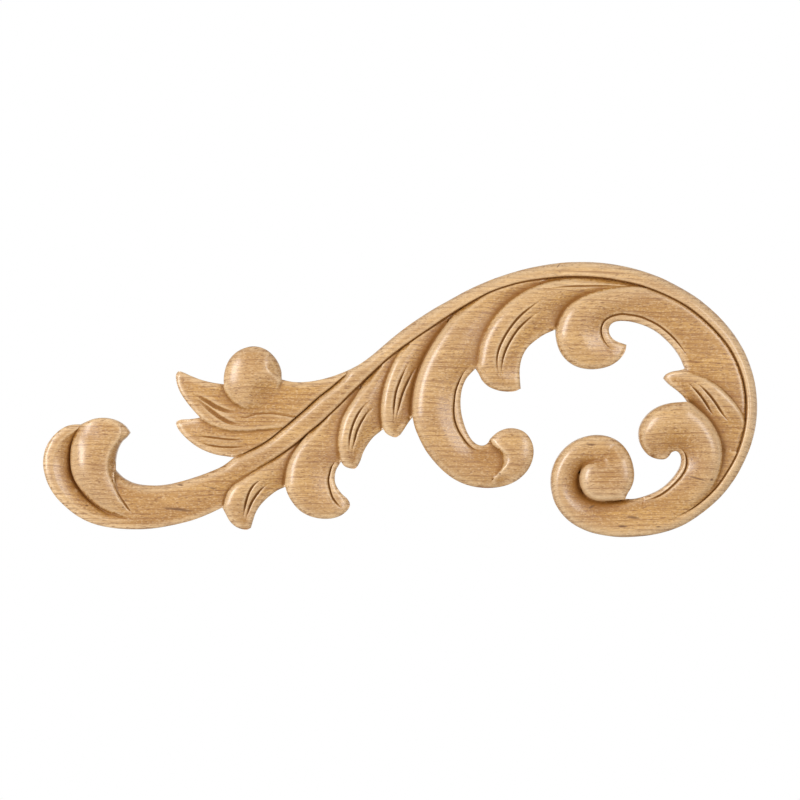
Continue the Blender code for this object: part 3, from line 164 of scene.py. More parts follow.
OUTLINE = [
    # Tail, outer curve
    [
        (-134.4, -10.5), (-137.1, -10.5), (-140.2, -11.2), (-143.4, -13.1), (-146.3, -16), (-148.5, -19.4),
        (-149.7, -23.1), (-150, -27.1), (-149.3, -31.6), (-147.5, -36.4), (-144.6, -40.9), (-140.4, -45.2),
        (-135.2, -49.2), (-129.1, -52.1), (-121.9, -53.8), (-113.7, -54.5), (-105.2, -54.3), (-96.6, -53),
        (-87.3, -50.7), (-80.3, -48), (-74.8, -45.4),
    ],
    # First small leaf
    [
        (-74.8, -45.4), (-73.4, -48), (-71.8, -50.9), (-69.5, -53.2), (-66.9, -54.4), (-64.4, -54.7),
        (-62.9, -54),
    ],
    # First small leaf, inner side
    [
        (-62.9, -54), (-62, -50.9), (-61.1, -48.1), (-59.5, -45.3), (-57.3, -42.7), (-54.6, -40.3),
        (-51.6, -38.2), (-48.3, -36.7),
    ],
    # Hooked leaf
    [
        (-48.3, -36.7), (-47.4, -39.5), (-45.1, -43.5), (-41.9, -46.9), (-37.7, -49.1), (-32.9, -50.1),
        (-28.4, -49.9), (-24.9, -48.7), (-22.5, -46.8), (-21.3, -44.9), (-21.3, -43.5),
    ],
    # Hooked leaf, inner side
    [
        (-21.3, -43.5), (-22.4, -41.8), (-24.4, -40), (-26.2, -37.7), (-27.4, -35.1), (-27.6, -32.3),
        (-27, -29.6), (-25.8, -27.5), (-24.9, -26.1),
    ],
    # Second small leaf
    [
        (-24.9, -26.1), (-23.6, -27.9), (-20.9, -29), (-19, -29), (-17.8, -27.8),
    ],
    # Second small leaf, inner side
    [
        (-17.8, -27.8), (-16.8, -25.7), (-15.8, -22.7), (-13.8, -19), (-11.3, -15.8), (-9, -13.9),
        (-7.2, -12.5),
    ],
    # Third small leaf
    [
        (-7.2, -12.5), (-5.9, -14.3), (-3.8, -15.5), (-1.8, -15.9), (0.1, -14.7),
    ],
    # Third small leaf, inner side
    [
        (0.1, -14.7), (1.7, -12.3), (3.6, -9.4), (5.1, -7.5),
    ],
    # Crook, outer curve
    [
        (5.1, -7.5), (6.1, -11.8), (8.1, -16.7), (10.7, -21.5), (14.1, -26), (18.1, -30.1), (22.8, -33.6),
        (28.3, -36), (34.3, -37.1), (40.3, -37), (45.8, -35.6), (50.3, -33), (53.6, -29.4), (55.5, -25.1),
        (55.9, -20.7), (54.7, -16.8), (52.1, -13.7), (48.4, -12.2), (44.4, -12.3), (40.7, -13.9),
        (37.9, -16.4),
    ],
    # Crook, inner curve
    [
        (37.9, -16.4), (36.8, -18.3), (35.1, -19.3), (32.8, -19.1), (30.4, -17.4), (28.3, -14.2),
        (26.6, -9.8), (25.5, -4.8), (25.3, 0.3), (26.1, 5.1), (27.7, 8.7), (29.7, 11.1), (31.6, 13),
    ],
    # Blade, tip side
    [
        (31.6, 13), (32.9, 10.9), (34.5, 7.9), (36.9, 5.6), (40.4, 4), (44.4, 3.3), (48.2, 3.5),
        (50.6, 4.6),
    ],
    # Blade, inner side
    [
        (50.6, 4.6), (50.3, 7.8), (50.1, 12), (50.7, 16.2), (52, 19.6), (54, 22.4), (56.8, 24.8), (60, 27),
        (63.1, 28.5), (65.3, 29.4),
    ],
    # Volute, outer curve
    [
        (65.3, 29.4), (65.4, 26.3), (66.2, 22.5), (68, 18.8), (70.9, 15.7), (74.8, 13.6), (79.7, 12.7),
        (84.7, 13.1), (89, 14.6), (92.3, 17.1), (94.4, 20.2), (95, 23),
    ],
    # Volute, inner curve
    [
        (95, 23), (92.6, 23.8), (90.2, 24.8), (88.4, 26.5), (87.6, 28.6), (87.9, 30.7), (89.3, 32.2),
        (92, 33), (95.7, 32.9), (99.8, 32.1), (103.9, 30.6), (108, 28.3), (111.8, 25.1), (115.2, 21.4),
        (117.8, 17.4), (119.7, 13),
    ],
    # Spur
    [
        (119.7, 13), (118, 12.4), (114.2, 11.7), (111.7, 10.5), (110.6, 8.9),
    ],
    # Spur, lower side
    [
        (110.6, 8.9), (113.1, 6.3), (116.5, 3.7), (118.9, 1.5), (120.7, -0.9),
    ],
    # Curl, outer curve
    [
        (120.7, -0.9), (118, -1.1), (113.6, -1.5), (109, -2.8), (105, -5.2), (102.1, -8.5), (100.5, -12),
        (100.2, -15.4), (100.9, -18.6), (102.7, -21.7), (105.3, -24), (108.4, -25.1), (111.3, -25),
        (112.9, -23.7),
    ],
    # Curl, inner curve
    [
        (112.9, -23.7), (113.9, -22.3), (115.5, -21.7), (117, -22.2), (118, -23.8), (118.2, -26),
        (117.6, -28.4), (116.3, -30.7), (114.5, -33.1), (112.1, -35.6), (109.1, -37.9), (105.3, -39.8),
        (100.9, -41.3), (97, -41.9), (94.3, -41.7),
    ],
    # End scroll
    [
        (94.3, -41.7), (95.4, -39.4), (96.8, -37.1), (97.9, -34.1), (98.1, -30.4), (97.3, -26.2),
        (95.5, -22), (92.5, -18.3), (88.2, -15.8), (83.2, -14.9), (78.1, -15.5), (73.2, -17.4),
        (68.8, -20.8), (65.5, -25.3), (63.7, -30.1), (63.2, -35), (63.8, -39.7), (65.3, -44),
        (67.7, -47.8), (70.9, -51.1), (74.9, -53.7), (79.9, -55.8), (85.6, -57.1), (91.6, -57.8),
        (98.4, -57.7), (105.7, -56.9), (112.5, -55.3), (118.5, -53), (123.8, -49.9), (128.9, -46.1),
        (133.7, -41.9), (137.9, -37.1), (141.5, -31.8), (144.6, -26), (147, -20.2), (148.7, -14.4),
        (149.7, -8.6), (150, -2.7), (149.6, 3.3), (148.5, 9.3), (146.8, 15), (144.5, 20.3), (141.7, 25.2),
        (138.4, 29.8), (134.6, 34.1), (130.3, 38.2), (125.6, 42.1), (120.4, 45.5), (115.2, 48.4),
        (109.9, 51), (104.2, 53.2), (98.3, 55), (92.5, 56.3), (86.9, 57.2), (81.4, 57.7), (75.6, 57.8),
        (69.5, 57.6), (63.1, 56.9), (56.8, 55.8), (50.4, 54.3), (44, 52.4), (38.1, 50.3), (32.6, 48),
        (27, 45.3), (20.8, 41.9), (14.2, 38.2), (8.2, 34.4), (2.6, 30.5), (-2.5, 26.6), (-7, 22.8),
        (-11.3, 19.1), (-15.9, 15.6), (-21.3, 12.6), (-27.2, 10.2), (-33.4, 8.4), (-39.5, 7.4),
        (-45.1, 7.4), (-49.9, 8.4),
    ],
    # Cap roll
    [
        (-49.9, 8.4), (-50.1, 11.8), (-51.1, 14.9), (-53, 17.9), (-55.6, 20.4), (-58.7, 21.9),
        (-62.2, 22.3), (-65.7, 21.5), (-68.9, 19.8), (-71.4, 17.3), (-73.1, 14.1), (-74, 10.5),
        (-74.2, 6.4),
    ],
    # Upper fern leaf
    [
        (-74.2, 6.4), (-79.5, 7.2), (-84.2, 8.4), (-88.3, 10), (-91.4, 11.4), (-93.3, 11.8), (-94.3, 10.4),
        (-94.1, 7.4), (-92.7, 3.4), (-90.1, -0.7), (-87.1, -4.4), (-84.3, -7.5),
    ],
    # Lower fern leaf
    [
        (-84.3, -7.5), (-84.7, -7.7), (-89, -8.3), (-92.7, -8.6), (-94.3, -9.6), (-93.8, -11.7),
        (-91.7, -14.6), (-88.8, -17.4), (-85.4, -19.9), (-81.6, -21.8), (-77.4, -23.2), (-73.2, -23.9),
        (-69.9, -24.4),
    ],
    # Stem, upper edge
    [
        (-69.9, -24.4), (-74.8, -28), (-80.9, -30.7), (-87.1, -32.9), (-93.1, -34.7), (-99.1, -35.9),
        (-105.2, -36.2), (-110.8, -35.5), (-114.8, -34), (-117.6, -32), (-119.8, -29.6),
    ],
    # Tail roll
    [
        (-119.8, -29.6), (-119.7, -25.4), (-118.8, -21.2), (-117, -17.7), (-114.8, -15.6), (-113.6, -13.9),
    ],
    # Tail roll, top
    [
        (-113.6, -13.9), (-115.7, -11.1), (-118.7, -9.1), (-122, -8), (-125.4, -7.7), (-128.6, -8.1),
        (-131.6, -9.2), (-134.4, -10.5),
    ],
]
outline_runs = [smooth(run, CURVE_STEP) for run in OUTLINE]
outline_points = np.vstack([run[:-1] for run in outline_runs])
outline_outward = np.vstack([turned_right(run)[:-1] for run in outline_runs])


def past_outline(loop):
    """The loop, pushed outwards where it runs along the outline, so that it covers the wood up to there."""
    tree = KDTree(len(outline_points))
    for i, point in enumerate(outline_points):
        tree.insert((*point, 0), i)
    tree.balance()
    moved = loop.copy()
    for i, point in enumerate(loop):
        _, at, distance = tree.find((*point, 0))
        if distance < 0.8:
            moved[i] = outline_points[at] + outline_outward[at]
    return moved


def line_field(places, line, heights):
    """Distance to the line, the share of its length, and a distance and height smoothed between its bends."""
    distance, share = nearest(places, line)
    knots, levels = line[::2], spread(heights, np.linspace(0, 1, len(line)))[::2]
    far, level = np.empty(len(places)), np.empty(len(places))
    for start in range(0, len(places), 2000):
        few = slice(start, start + 2000)
        weights = (((places[few, None] - knots) ** 2).sum(axis=2) + 0.01) ** -3
        total = weights.sum(axis=1)
        far[few] = (3 * np.pi / 8 / (2 * CURVE_STEP * total)) ** 0.2
        level[few] = weights @ levels / total
    return distance, share, distance + (far - distance) * ease((distance - 0.5) / 1.5), level


def leaf(back, belly, back_heights, belly_heights, crown, rise=0.0, round_widths=(2.3, 2.3), fall=0.5, fades=()):
    """A leaf between its back and its belly line, rounded over along its back and crowned between them."""
    back, belly = smooth(back, CURVE_STEP), smooth(belly, CURVE_STEP)

    def carve(places, ground):
        from_back, back_share, back_way, back_level = line_field(places, back, back_heights)
        from_belly, _, belly_way, belly_level = line_field(places, belly, belly_heights)
        width = back_way + belly_way + 1e-9
        t = back_way / width
        mix = (ease(t) + t) / 2
        height = back_level * (1 - mix) + belly_level * mix
        height += crown * width * 4 * t * (1 - t)
        round_width = spread(round_widths, back_share)
        height -= rounded_drop(from_back + LIP, round_width, fall * round_width)
        height -= rounded_drop(from_belly + LIP, BELLY_ROUND_WIDTH, BELLY_ROUND_DROP)
        cover = np.ones(len(places))
        if rise:
            cover = ease(back_share / rise)
            cover += (1 - cover) * ease(from_back / 2.5)
        return height, cover

    loop = past_outline(np.vstack([back, belly[::-1]]))
    forms.append({"carve": carve, "loop": loop, "edges": [back, belly], "arris": None, "fades": fades})


def ball(centre, rim, edge, top, flatness=2, fades=()):
    """A dome over a rim, with its middle at the centre. A higher flatness rounds only its edge."""
    rim = smooth(rim + rim[:1], CURVE_STEP)[:-1]
    rays = rim - centre
    angles = np.arctan2(rays[:, 1], rays[:, 0])
    order = np.argsort(angles)

    def carve(places, ground):
        across = places - centre
        radius = np.interp(
            np.arctan2(across[:, 1], across[:, 0]), angles[order], np.linalg.norm(rays[order], axis=1),
            period=2 * np.pi)
        t = np.clip(np.linalg.norm(across, axis=1) / (radius + 2 * LIP), 0, 1)
        return edge + (top - edge) * np.sqrt(1 - t ** flatness), np.ones(len(places))

    forms.append({"carve": carve, "loop": past_outline(rim), "edges": [rim], "arris": None, "fades": fades})


def hollow(arris, foot, depths, bow, fades=()):
    """A hollow cut into what is there: nothing at its arris, and all its depth at its foot."""
    arris, foot = smooth(arris, CURVE_STEP), smooth(foot, CURVE_STEP)

    def carve(places, ground):
        _, _, from_arris, depth = line_field(places, arris, depths)
        from_foot = line_field(places, foot, depths)[2]
        t = from_arris / (from_arris + from_foot + 1e-9)
        return ground - depth * t * (1 + bow * (1 - t)), np.ones(len(places))

    loop = past_outline(np.vstack([arris, foot[::-1]]))
    forms.append({"carve": carve, "loop": loop, "edges": [], "arris": arris, "fades": fades})


# Lower fern leaf, at the left above the stem
leaf(
    back=[
        (-42.1, -10.3), (-58.1, -12), (-65.3, -12.4), (-73.7, -11.5), (-80, -9.4), (-84.7, -7.7),
        (-89.2, -8.5), (-94.5, -9.5),
    ],
    belly=[
        (-42.1, -17.8), (-55.6, -22), (-65.3, -24.1), (-71.6, -24.1), (-77.4, -23.3), (-81.6, -21.9),
        (-85.3, -19.8), (-88.7, -17.6), (-91.8, -14.5), (-94.5, -9.5),
    ],
    back_heights=(9.0, 8.8, 8.4, 8.0, 6.4),
    belly_heights=(9.0, 8.6, 8.2, 7.6, 6.4),
    crown=0.04,
)

# Upper fern leaf
leaf(
    back=[
        (-37.9, -0.2), (-46.3, 0.7), (-58.1, 3.2), (-67.4, 5.3), (-74.2, 6.4), (-79.5, 7.2), (-84.1, 8.3),
        (-88.4, 10), (-91.4, 11.5), (-93.8, 11.6),
    ],
    belly=[
        (-37.9, -10.3), (-46.3, -11.5), (-58.1, -12.8), (-65.3, -13.4), (-72.4, -13), (-79.1, -10.9),
        (-84.3, -7.5), (-87.1, -4.4), (-90.1, -0.7), (-92.8, 3.4), (-94.1, 7.4), (-93.8, 11.6),
    ],
    back_heights=(10.0, 9.4, 8.8, 8.8, 7.4),
    belly_heights=(10.2, 10.0, 9.6, 9.0, 7.4),
    crown=0.04,
    rise=0.2,
)

# Leaf under the cap roll, running up beside the rib
leaf(
    back=[
        (-20.3, 12.8), (-27.2, 10.2), (-33.3, 8.4), (-39.6, 7.4), (-45.1, 7.4), (-49.9, 8.4), (-58.1, 9.9),
        (-65.3, 9.9),
    ],
    belly=[
        (-18.6, 14.1), (-22.8, 10.3), (-28.7, 5.3), (-34.6, 0.7), (-39.6, -3.8), (-43.4, -7.3),
        (-48.4, -6.8), (-53.9, -6), (-60.6, -6.3), (-66.5, -7.7), (-69, -5.2), (-68.2, -0.2), (-65.3, 8.2),
    ],
    back_heights=(8.6, 8.8, 9.0, 9.6, 10.0),
    belly_heights=(9.2, 9.6, 10.0, 10.2, 9.6),
    crown=0.03,
    fades=[(-69.9, -5.2, 8.4)],
)

# Round cap roll on top of it
ball(
    centre=(-62.1, 9.3),
    rim=[
        (-49.9, 8.4), (-50.1, 11.8), (-51.2, 14.9), (-52.8, 17.9), (-55.6, 20.3), (-58.7, 22),
        (-62.1, 22.3), (-65.7, 21.5), (-69, 19.8), (-71.3, 17.3), (-73.1, 14.1), (-74, 10.5), (-74.2, 6.3),
        (-73.2, 2.8), (-71.1, -0.2), (-68.2, -2.5), (-64.4, -4.2), (-59.8, -3.5), (-55.2, -1),
        (-51.8, 3.2),
    ],
    edge=9.6,
    top=14.4,
    fades=[(-53.9, -1, 13.5), (-60.2, -6.1, 8.4)],
)

# Bevel on the cap roll's right side
hollow(
    arris=[
        (-57.3, 16.2), (-55.8, 12.8), (-53.5, 10.1), (-49.9, 7.8),
    ],
    foot=[
        (-54.7, 19.6), (-51.6, 16), (-50.1, 11.8), (-49.9, 8.2),
    ],
    depths=(0.2, 1.8, 2.2, 0.6),
    bow=0.0,
)

# First small leaf under the stem
leaf(
    back=[
        (-46.8, -18.7), (-53.9, -25.4), (-60.6, -29.6), (-66.1, -33.2), (-69.9, -35.7), (-72.4, -38.4),
        (-73.9, -41.6), (-74.7, -44.9), (-73.4, -48), (-71.9, -51.1), (-69.6, -53.3), (-66.9, -54.4),
        (-62.9, -54),
    ],
    belly=[
        (-40.5, -13.2), (-43, -25.4), (-45.5, -33), (-48.3, -36.7), (-51.6, -38.2), (-54.5, -40.4),
        (-57.2, -42.7), (-59.5, -45.3), (-61.2, -48.1), (-62, -50.9), (-62.9, -54),
    ],
    back_heights=(10.0, 11.2, 12.2, 12.2, 11.4, 9.6),
    belly_heights=(7.4, 7.2, 7.8, 8.4, 8.8),
    crown=0.05,
    rise=0.25,
    round_widths=(5, 6, 7, 7, 5),
    fall=0.45,
)

# Hooked leaf
leaf(
    back=[
        (-32.5, -6.9), (-38.8, -14.5), (-42.6, -19.3), (-45.3, -23.3), (-47.2, -27.7), (-48.1, -32.5),
        (-48.3, -36.7), (-47.4, -39.5), (-44.9, -43.8), (-42, -46.8), (-37.8, -49.2), (-32.9, -50.2),
        (-28.3, -50), (-25, -48.8), (-22.4, -46.8), (-21.3, -43.5),
    ],
    belly=[
        (-16.5, 10.7), (-16.9, -0.2), (-19.4, -10.7), (-22.4, -21.2), (-24.9, -26.1), (-25.8, -27.5),
        (-27, -29.5), (-27.8, -32.4), (-27.3, -35.1), (-26.3, -37.8), (-24.4, -40.1), (-21.3, -43.5),
    ],
    back_heights=(10.2, 11.8, 12.6, 12.2, 11.2, 9.6),
    belly_heights=(8.6, 7.6, 8.0, 9.2, 9.2),
    crown=0.06,
    rise=0.2,
    round_widths=(4, 5, 6, 6, 6, 5),
    fall=0.45,
)

# Second small leaf
leaf(
    back=[
        (-9.8, 14.5), (-16.1, 5.3), (-19.6, -0.2), (-22.2, -4.2), (-24.3, -8.4), (-25.5, -12.8),
        (-26.2, -17.8), (-26, -22), (-24.9, -26.1), (-23.6, -27.9), (-20.9, -29), (-17.8, -27.8),
    ],
    belly=[
        (4.9, 26.7), (1.6, 16.6), (-1.8, 4), (-4.7, -6.5), (-7.2, -12.5), (-9, -13.9), (-11.1, -15.6),
        (-13.9, -19), (-16, -22.8), (-16.8, -25.7), (-17.8, -27.8),
    ],
    back_heights=(10.0, 12.2, 13.4, 12.8, 10.0),
    belly_heights=(8.2, 7.2, 7.2, 8.2, 9.2),
    crown=0.05,
    rise=0.3,
    round_widths=(5, 6.5, 7, 7, 5),
    fall=0.45,
)

# Third small leaf
leaf(
    back=[
        (5.8, 28.4), (1.6, 22.9), (-2, 17.1), (-4.5, 11.6), (-6.4, 6.1), (-7.6, 0.7), (-8.1, -4.8),
        (-7.8, -9), (-7.2, -12.5), (-5.9, -14.3), (-3.8, -15.5), (0.1, -14.7),
    ],
    belly=[
        (26, 42.7), (20.1, 32.6), (14.2, 21.7), (9.6, 11.6), (6.6, 1.5), (5.6, -4.4), (5.1, -7.5),
        (3.6, -9.4), (1.7, -12.3), (0.1, -14.7),
    ],
    back_heights=(10.0, 12.2, 13.4, 12.8, 10.0),
    belly_heights=(8.6, 7.6, 7.0, 7.4, 9.2),
    crown=0.05,
    rise=0.3,
    round_widths=(5, 6.5, 7, 7, 5),
    fall=0.45,
)

# Crook, the large hooked leaf in the middle
leaf(
    back=[
        (36, 46.9), (31, 42.5), (26.4, 38.7), (21.8, 34.5), (18, 29.7), (14.8, 25), (11.7, 19.8),
        (8.8, 13.7), (6.7, 7.4), (5.5, 1.1), (5.1, -4.4), (5.1, -7.5), (6.1, -11.8), (8.1, -16.9),
        (10.8, -21.5), (14, -26), (18.2, -30), (22.6, -33.6), (28.3, -36.1), (34.4, -37), (40.3, -37),
        (45.9, -35.7), (49.5, -28.8),
    ],
    belly=[
        (67.1, 55.3), (57.1, 46.9), (47, 38.9), (39.4, 29.2), (34.8, 20), (31.6, 13), (29.7, 11.1),
        (27.8, 8.9), (26.1, 5.2), (25.2, 0.2), (25.5, -4.8), (26.5, -9.8), (28.4, -14.3), (30.3, -17.4),
        (32.9, -19.1), (35.1, -19.3), (36.8, -18.3), (39.4, -17), (44, -17), (48.2, -21.2), (49.5, -28.8),
    ],
    back_heights=(10.2, 13.0, 14.8, 15.0, 14.8, 14.2, 13.4, 12.2, 10.8),
    belly_heights=(9.0, 8.4, 8.4, 9.6, 10.0, 10.0, 9.6, 9.6, 10.2),
    crown=0.05,
    rise=0.2,
    round_widths=(6, 10, 13, 13, 13, 13, 12, 10, 6),
    fall=0.4,
)

# Ball at the end of the crook
ball(
    centre=(47.2, -24.4),
    rim=[
        (37.9, -16.4), (40.7, -13.9), (44.4, -12.3), (48.3, -12.2), (52.1, -13.7), (54.8, -16.7),
        (55.8, -20.8), (55.6, -25.1), (53.7, -29.5), (50.2, -33), (45.9, -35.7), (41.5, -36.3),
        (38.1, -34.6), (40, -32.1), (41.9, -29.4), (42.9, -26.2), (42.6, -23.1), (41.1, -20.6),
        (38.8, -18.9),
    ],
    edge=10.4,
    top=14.2,
    fades=[(41.5, -36.3, 6.7)],
)

# Blade, the pointed leaf right of the crook
leaf(
    back=[
        (98.2, 48.4), (84, 50.3), (73.5, 50.7), (66.3, 50), (60.8, 48.8), (54.5, 46.5), (49.1, 43.4),
        (44, 39.5), (39.4, 34.7), (35.8, 29.2), (33.4, 23.8), (32.3, 18.3), (31.8, 13), (32.9, 10.9),
        (34.3, 7.7), (37, 5.6), (40.2, 4), (44.4, 3.3), (50.6, 4.6),
    ],
    belly=[
        (98.2, 47.3), (86.5, 45.2), (77.2, 41.4), (70.5, 36.4), (66.3, 31.3), (65.3, 29.4), (63.1, 28.5),
        (60.1, 27.1), (56.6, 24.8), (54, 22.3), (52.1, 19.7), (50.7, 16.3), (50, 12), (50.3, 7.8),
        (50.6, 4.6),
    ],
    back_heights=(10.4, 11.4, 12.8, 13.8, 14.0, 13.0, 10.4),
    belly_heights=(10.0, 9.0, 8.0, 9.2, 9.8, 9.4),
    crown=0.05,
    rise=0.3,
    round_widths=(3, 6, 8, 9, 9.5, 9, 5),
    fall=0.45,
)

# C-shaped band with the volute at its upper end
leaf(
    back=[
        (128.5, -42.2), (133.6, -36.7), (138.2, -30), (141.5, -23.3), (143.9, -16.6), (145.1, -9.8),
        (145.5, -2.3), (144.5, 6.5), (142, 14.9), (137.8, 22.5), (131.9, 29.4), (125.1, 35.5),
        (117.6, 40.8), (110, 44.6), (102.9, 46.8), (95.7, 47.3), (88.2, 46.6), (81.4, 45), (75.6, 42.6),
        (70.5, 38.9), (67.4, 34.3), (65.7, 29.4), (65.4, 26.3), (66.1, 22.6), (68.1, 18.7), (70.8, 15.8),
        (74.7, 13.5), (79.8, 12.7), (84.8, 13.1), (89, 14.6), (92.2, 17), (95, 23),
    ],
    belly=[
        (112.5, -44.3), (118.4, -33.8), (121.8, -23.3), (123.5, -12.8), (123, -3.5), (121.8, 5.7),
        (119.7, 13), (117.8, 17.4), (115.2, 21.3), (111.9, 25.1), (107.8, 28.4), (104, 30.6), (99.8, 32.2),
        (95.7, 32.9), (92, 33), (89.3, 32.2), (87.8, 30.7), (87.7, 28.7), (88.4, 26.5), (90.1, 24.6),
        (95, 23),
    ],
    back_heights=(8.8, 8.6, 8.6, 8.8, 9.4, 11.0, 14.4, 14.8, 13.4, 10.6),
    belly_heights=(8.8, 8.8, 8.8, 9.4, 9.8, 9.8, 9.8, 9.8, 9.6),
    crown=0.03,
    round_widths=(2.4, 2.4, 2.4, 2.4, 2.4, 4, 11, 13.5, 12, 6),
    fall=0.4,
)

# Spur, the barbed leaf inside the band
leaf(
    back=[
        (146.2, -10.3), (143.2, -5.6), (140.3, -1.4), (136.9, 2.3), (133.1, 5.7), (128.9, 8.4),
        (124.7, 10.4), (120.9, 11.8), (118, 12.4), (114.2, 11.7), (111.7, 10.5), (110.6, 8.9),
    ],
    belly=[
        (131.9, -29.6), (130.6, -22), (127.3, -12.8), (123.9, -6.1), (120.7, -0.9), (118.9, 1.5),
        (116.5, 3.7), (113.1, 6.3), (110.6, 8.9),
    ],
    back_heights=(10.4, 11.8, 12.2, 12.0, 10.6, 8.6),
    belly_heights=(8.8, 7.4, 7.4, 8.0, 8.8, 8.6),
    crown=0.04,
    rise=0.25,
    round_widths=(3, 4, 4, 4, 3.5, 3),
    fades=[(140.3, -18.7, 25.2)],
)

# Lower end of the band, rolled into a spiral
leaf(
    back=[
        (147, -23.7), (143.2, -26.7), (141.4, -31.7), (137.9, -37.2), (133.7, -42), (128.9, -45.9),
        (123.8, -50), (118.4, -53), (112.7, -55.3), (105.8, -57), (98.2, -57.7), (91.5, -57.8),
        (85.7, -57.2), (79.9, -55.8), (74.7, -53.7), (71, -51.2), (67.7, -47.8), (65.4, -44),
        (63.8, -39.7), (63.2, -35.1), (63.7, -30), (65.5, -25.4), (68.7, -20.8), (73.4, -17.3),
        (78, -15.5), (83.1, -14.9), (88.3, -15.7), (92.6, -18.3), (95.4, -21.9), (97.2, -26.2),
        (98.1, -30.4), (98, -34), (94.3, -41.7),
    ],
    belly=[
        (135.2, -20.4), (128.5, -26.2), (121.8, -29.6), (118.4, -27.9), (116.2, -30.7), (114.5, -33.1),
        (112, -35.6), (109.1, -37.9), (105.5, -39.7), (100.7, -41.4), (97, -41.9), (94.3, -42),
        (90.3, -42.6), (85.2, -43), (80.6, -42.1), (77.2, -39.7), (75.4, -35.9), (75.1, -31.9),
        (76, -29.2), (77.7, -28.3), (79.3, -30.9), (81, -35.5), (84.8, -39.3), (89.4, -41), (94.3, -41.7),
    ],
    back_heights=(8.8, 8.8, 10.0, 10.8, 11.4, 12.2, 12.8, 12.4, 10.6),
    belly_heights=(8.8, 9.4, 9.2, 8.6, 8.4, 9.0, 12.0, 12.2, 10.0),
    crown=0.06,
    round_widths=(3, 3, 3.6, 4, 4.4, 4.6, 4.6, 4.4, 3.6),
    fall=0.8,
)

# Hollow between the spiral's outer edge and its ball
hollow(
    arris=[
        (85.6, -20.1), (81.9, -20.6), (78.1, -21.6), (74.3, -23.5), (71.1, -25.8), (69, -28.3),
        (67.7, -31.7), (67.3, -35.5), (68, -39.3), (69.9, -42.6), (73, -45.6), (77.2, -47.3),
        (82.3, -47.3),
    ],
    foot=[
        (86.5, -25.8), (84, -26), (81.4, -26.7), (79.1, -28.1), (77.2, -30.2), (76.4, -33), (76.4, -35.9),
        (77.7, -38.4), (79.8, -40.5), (83.1, -42), (86.5, -42.6),
    ],
    depths=(1.2, 2.6, 3.6, 3.9, 3.6, 2.4, 0.8),
    bow=-0.7,
    fades=[(85.6, -23.7, 10.9), (92.4, -23.7, 10.9), (86.5, -45.6, 12.6)],
)

# Ball in the middle of the spiral
ball(
    centre=(86.3, -33.2),
    rim=[
        (98.1, -30.4), (97.2, -26.2), (95.4, -21.9), (92.6, -18.3), (88.6, -19.9), (84.8, -23.7),
        (79.8, -25.9), (76.8, -28.3), (75.4, -32.1), (75.8, -36.3), (77.9, -39.9), (81.2, -42),
        (86.1, -42.6), (90.7, -42.2), (94.3, -41.7), (95.4, -39.4), (96.8, -37.2), (98, -34),
    ],
    edge=10.2,
    top=15.0,
    flatness=4,
    fades=[(84, -24.1, 5.9), (87.7, -21.6, 7.6), (91.9, -19.1, 7.6)],
)

# Curl, the leaf rolled over inside the band
leaf(
    back=[
        (115.9, -48.9), (122.2, -46), (126.8, -42.2), (130.4, -38), (133.1, -33), (134.6, -27.7),
        (135, -22.5), (134.3, -17.4), (132.3, -12.8), (129.4, -8.4), (125.1, -4.2), (121.2, -1.3),
        (118, -1.1), (113.4, -1.4), (109, -2.7), (105.1, -5.1), (102, -8.6), (100.5, -12.2),
        (100.2, -15.3), (100.8, -18.5), (102.7, -21.8), (105.8, -24.2),
    ],
    belly=[
        (100.8, -47.3), (102.5, -41.4), (105.5, -39.7), (109.1, -37.9), (112, -35.6), (114.5, -33.1),
        (116.2, -30.7), (117.6, -28.5), (118.3, -26), (118.1, -23.8), (117.1, -22.2), (115.5, -21.7),
        (113.9, -22.3), (112.9, -23.7), (111.3, -25), (108.3, -25.1), (105.8, -24.2),
    ],
    back_heights=(9.4, 11.2, 13.2, 14.4, 14.8, 14.6, 14.0, 11.6),
    belly_heights=(9.2, 9.4, 9.8, 10.0, 10.0, 10.2),
    crown=0.09,
    rise=0.25,
    round_widths=(3, 5, 8, 10.5, 11, 12, 13, 8),
    fall=0.4,
    fades=[(100.8, -47.3, 12.6), (109.2, -48.1, 16)],
)

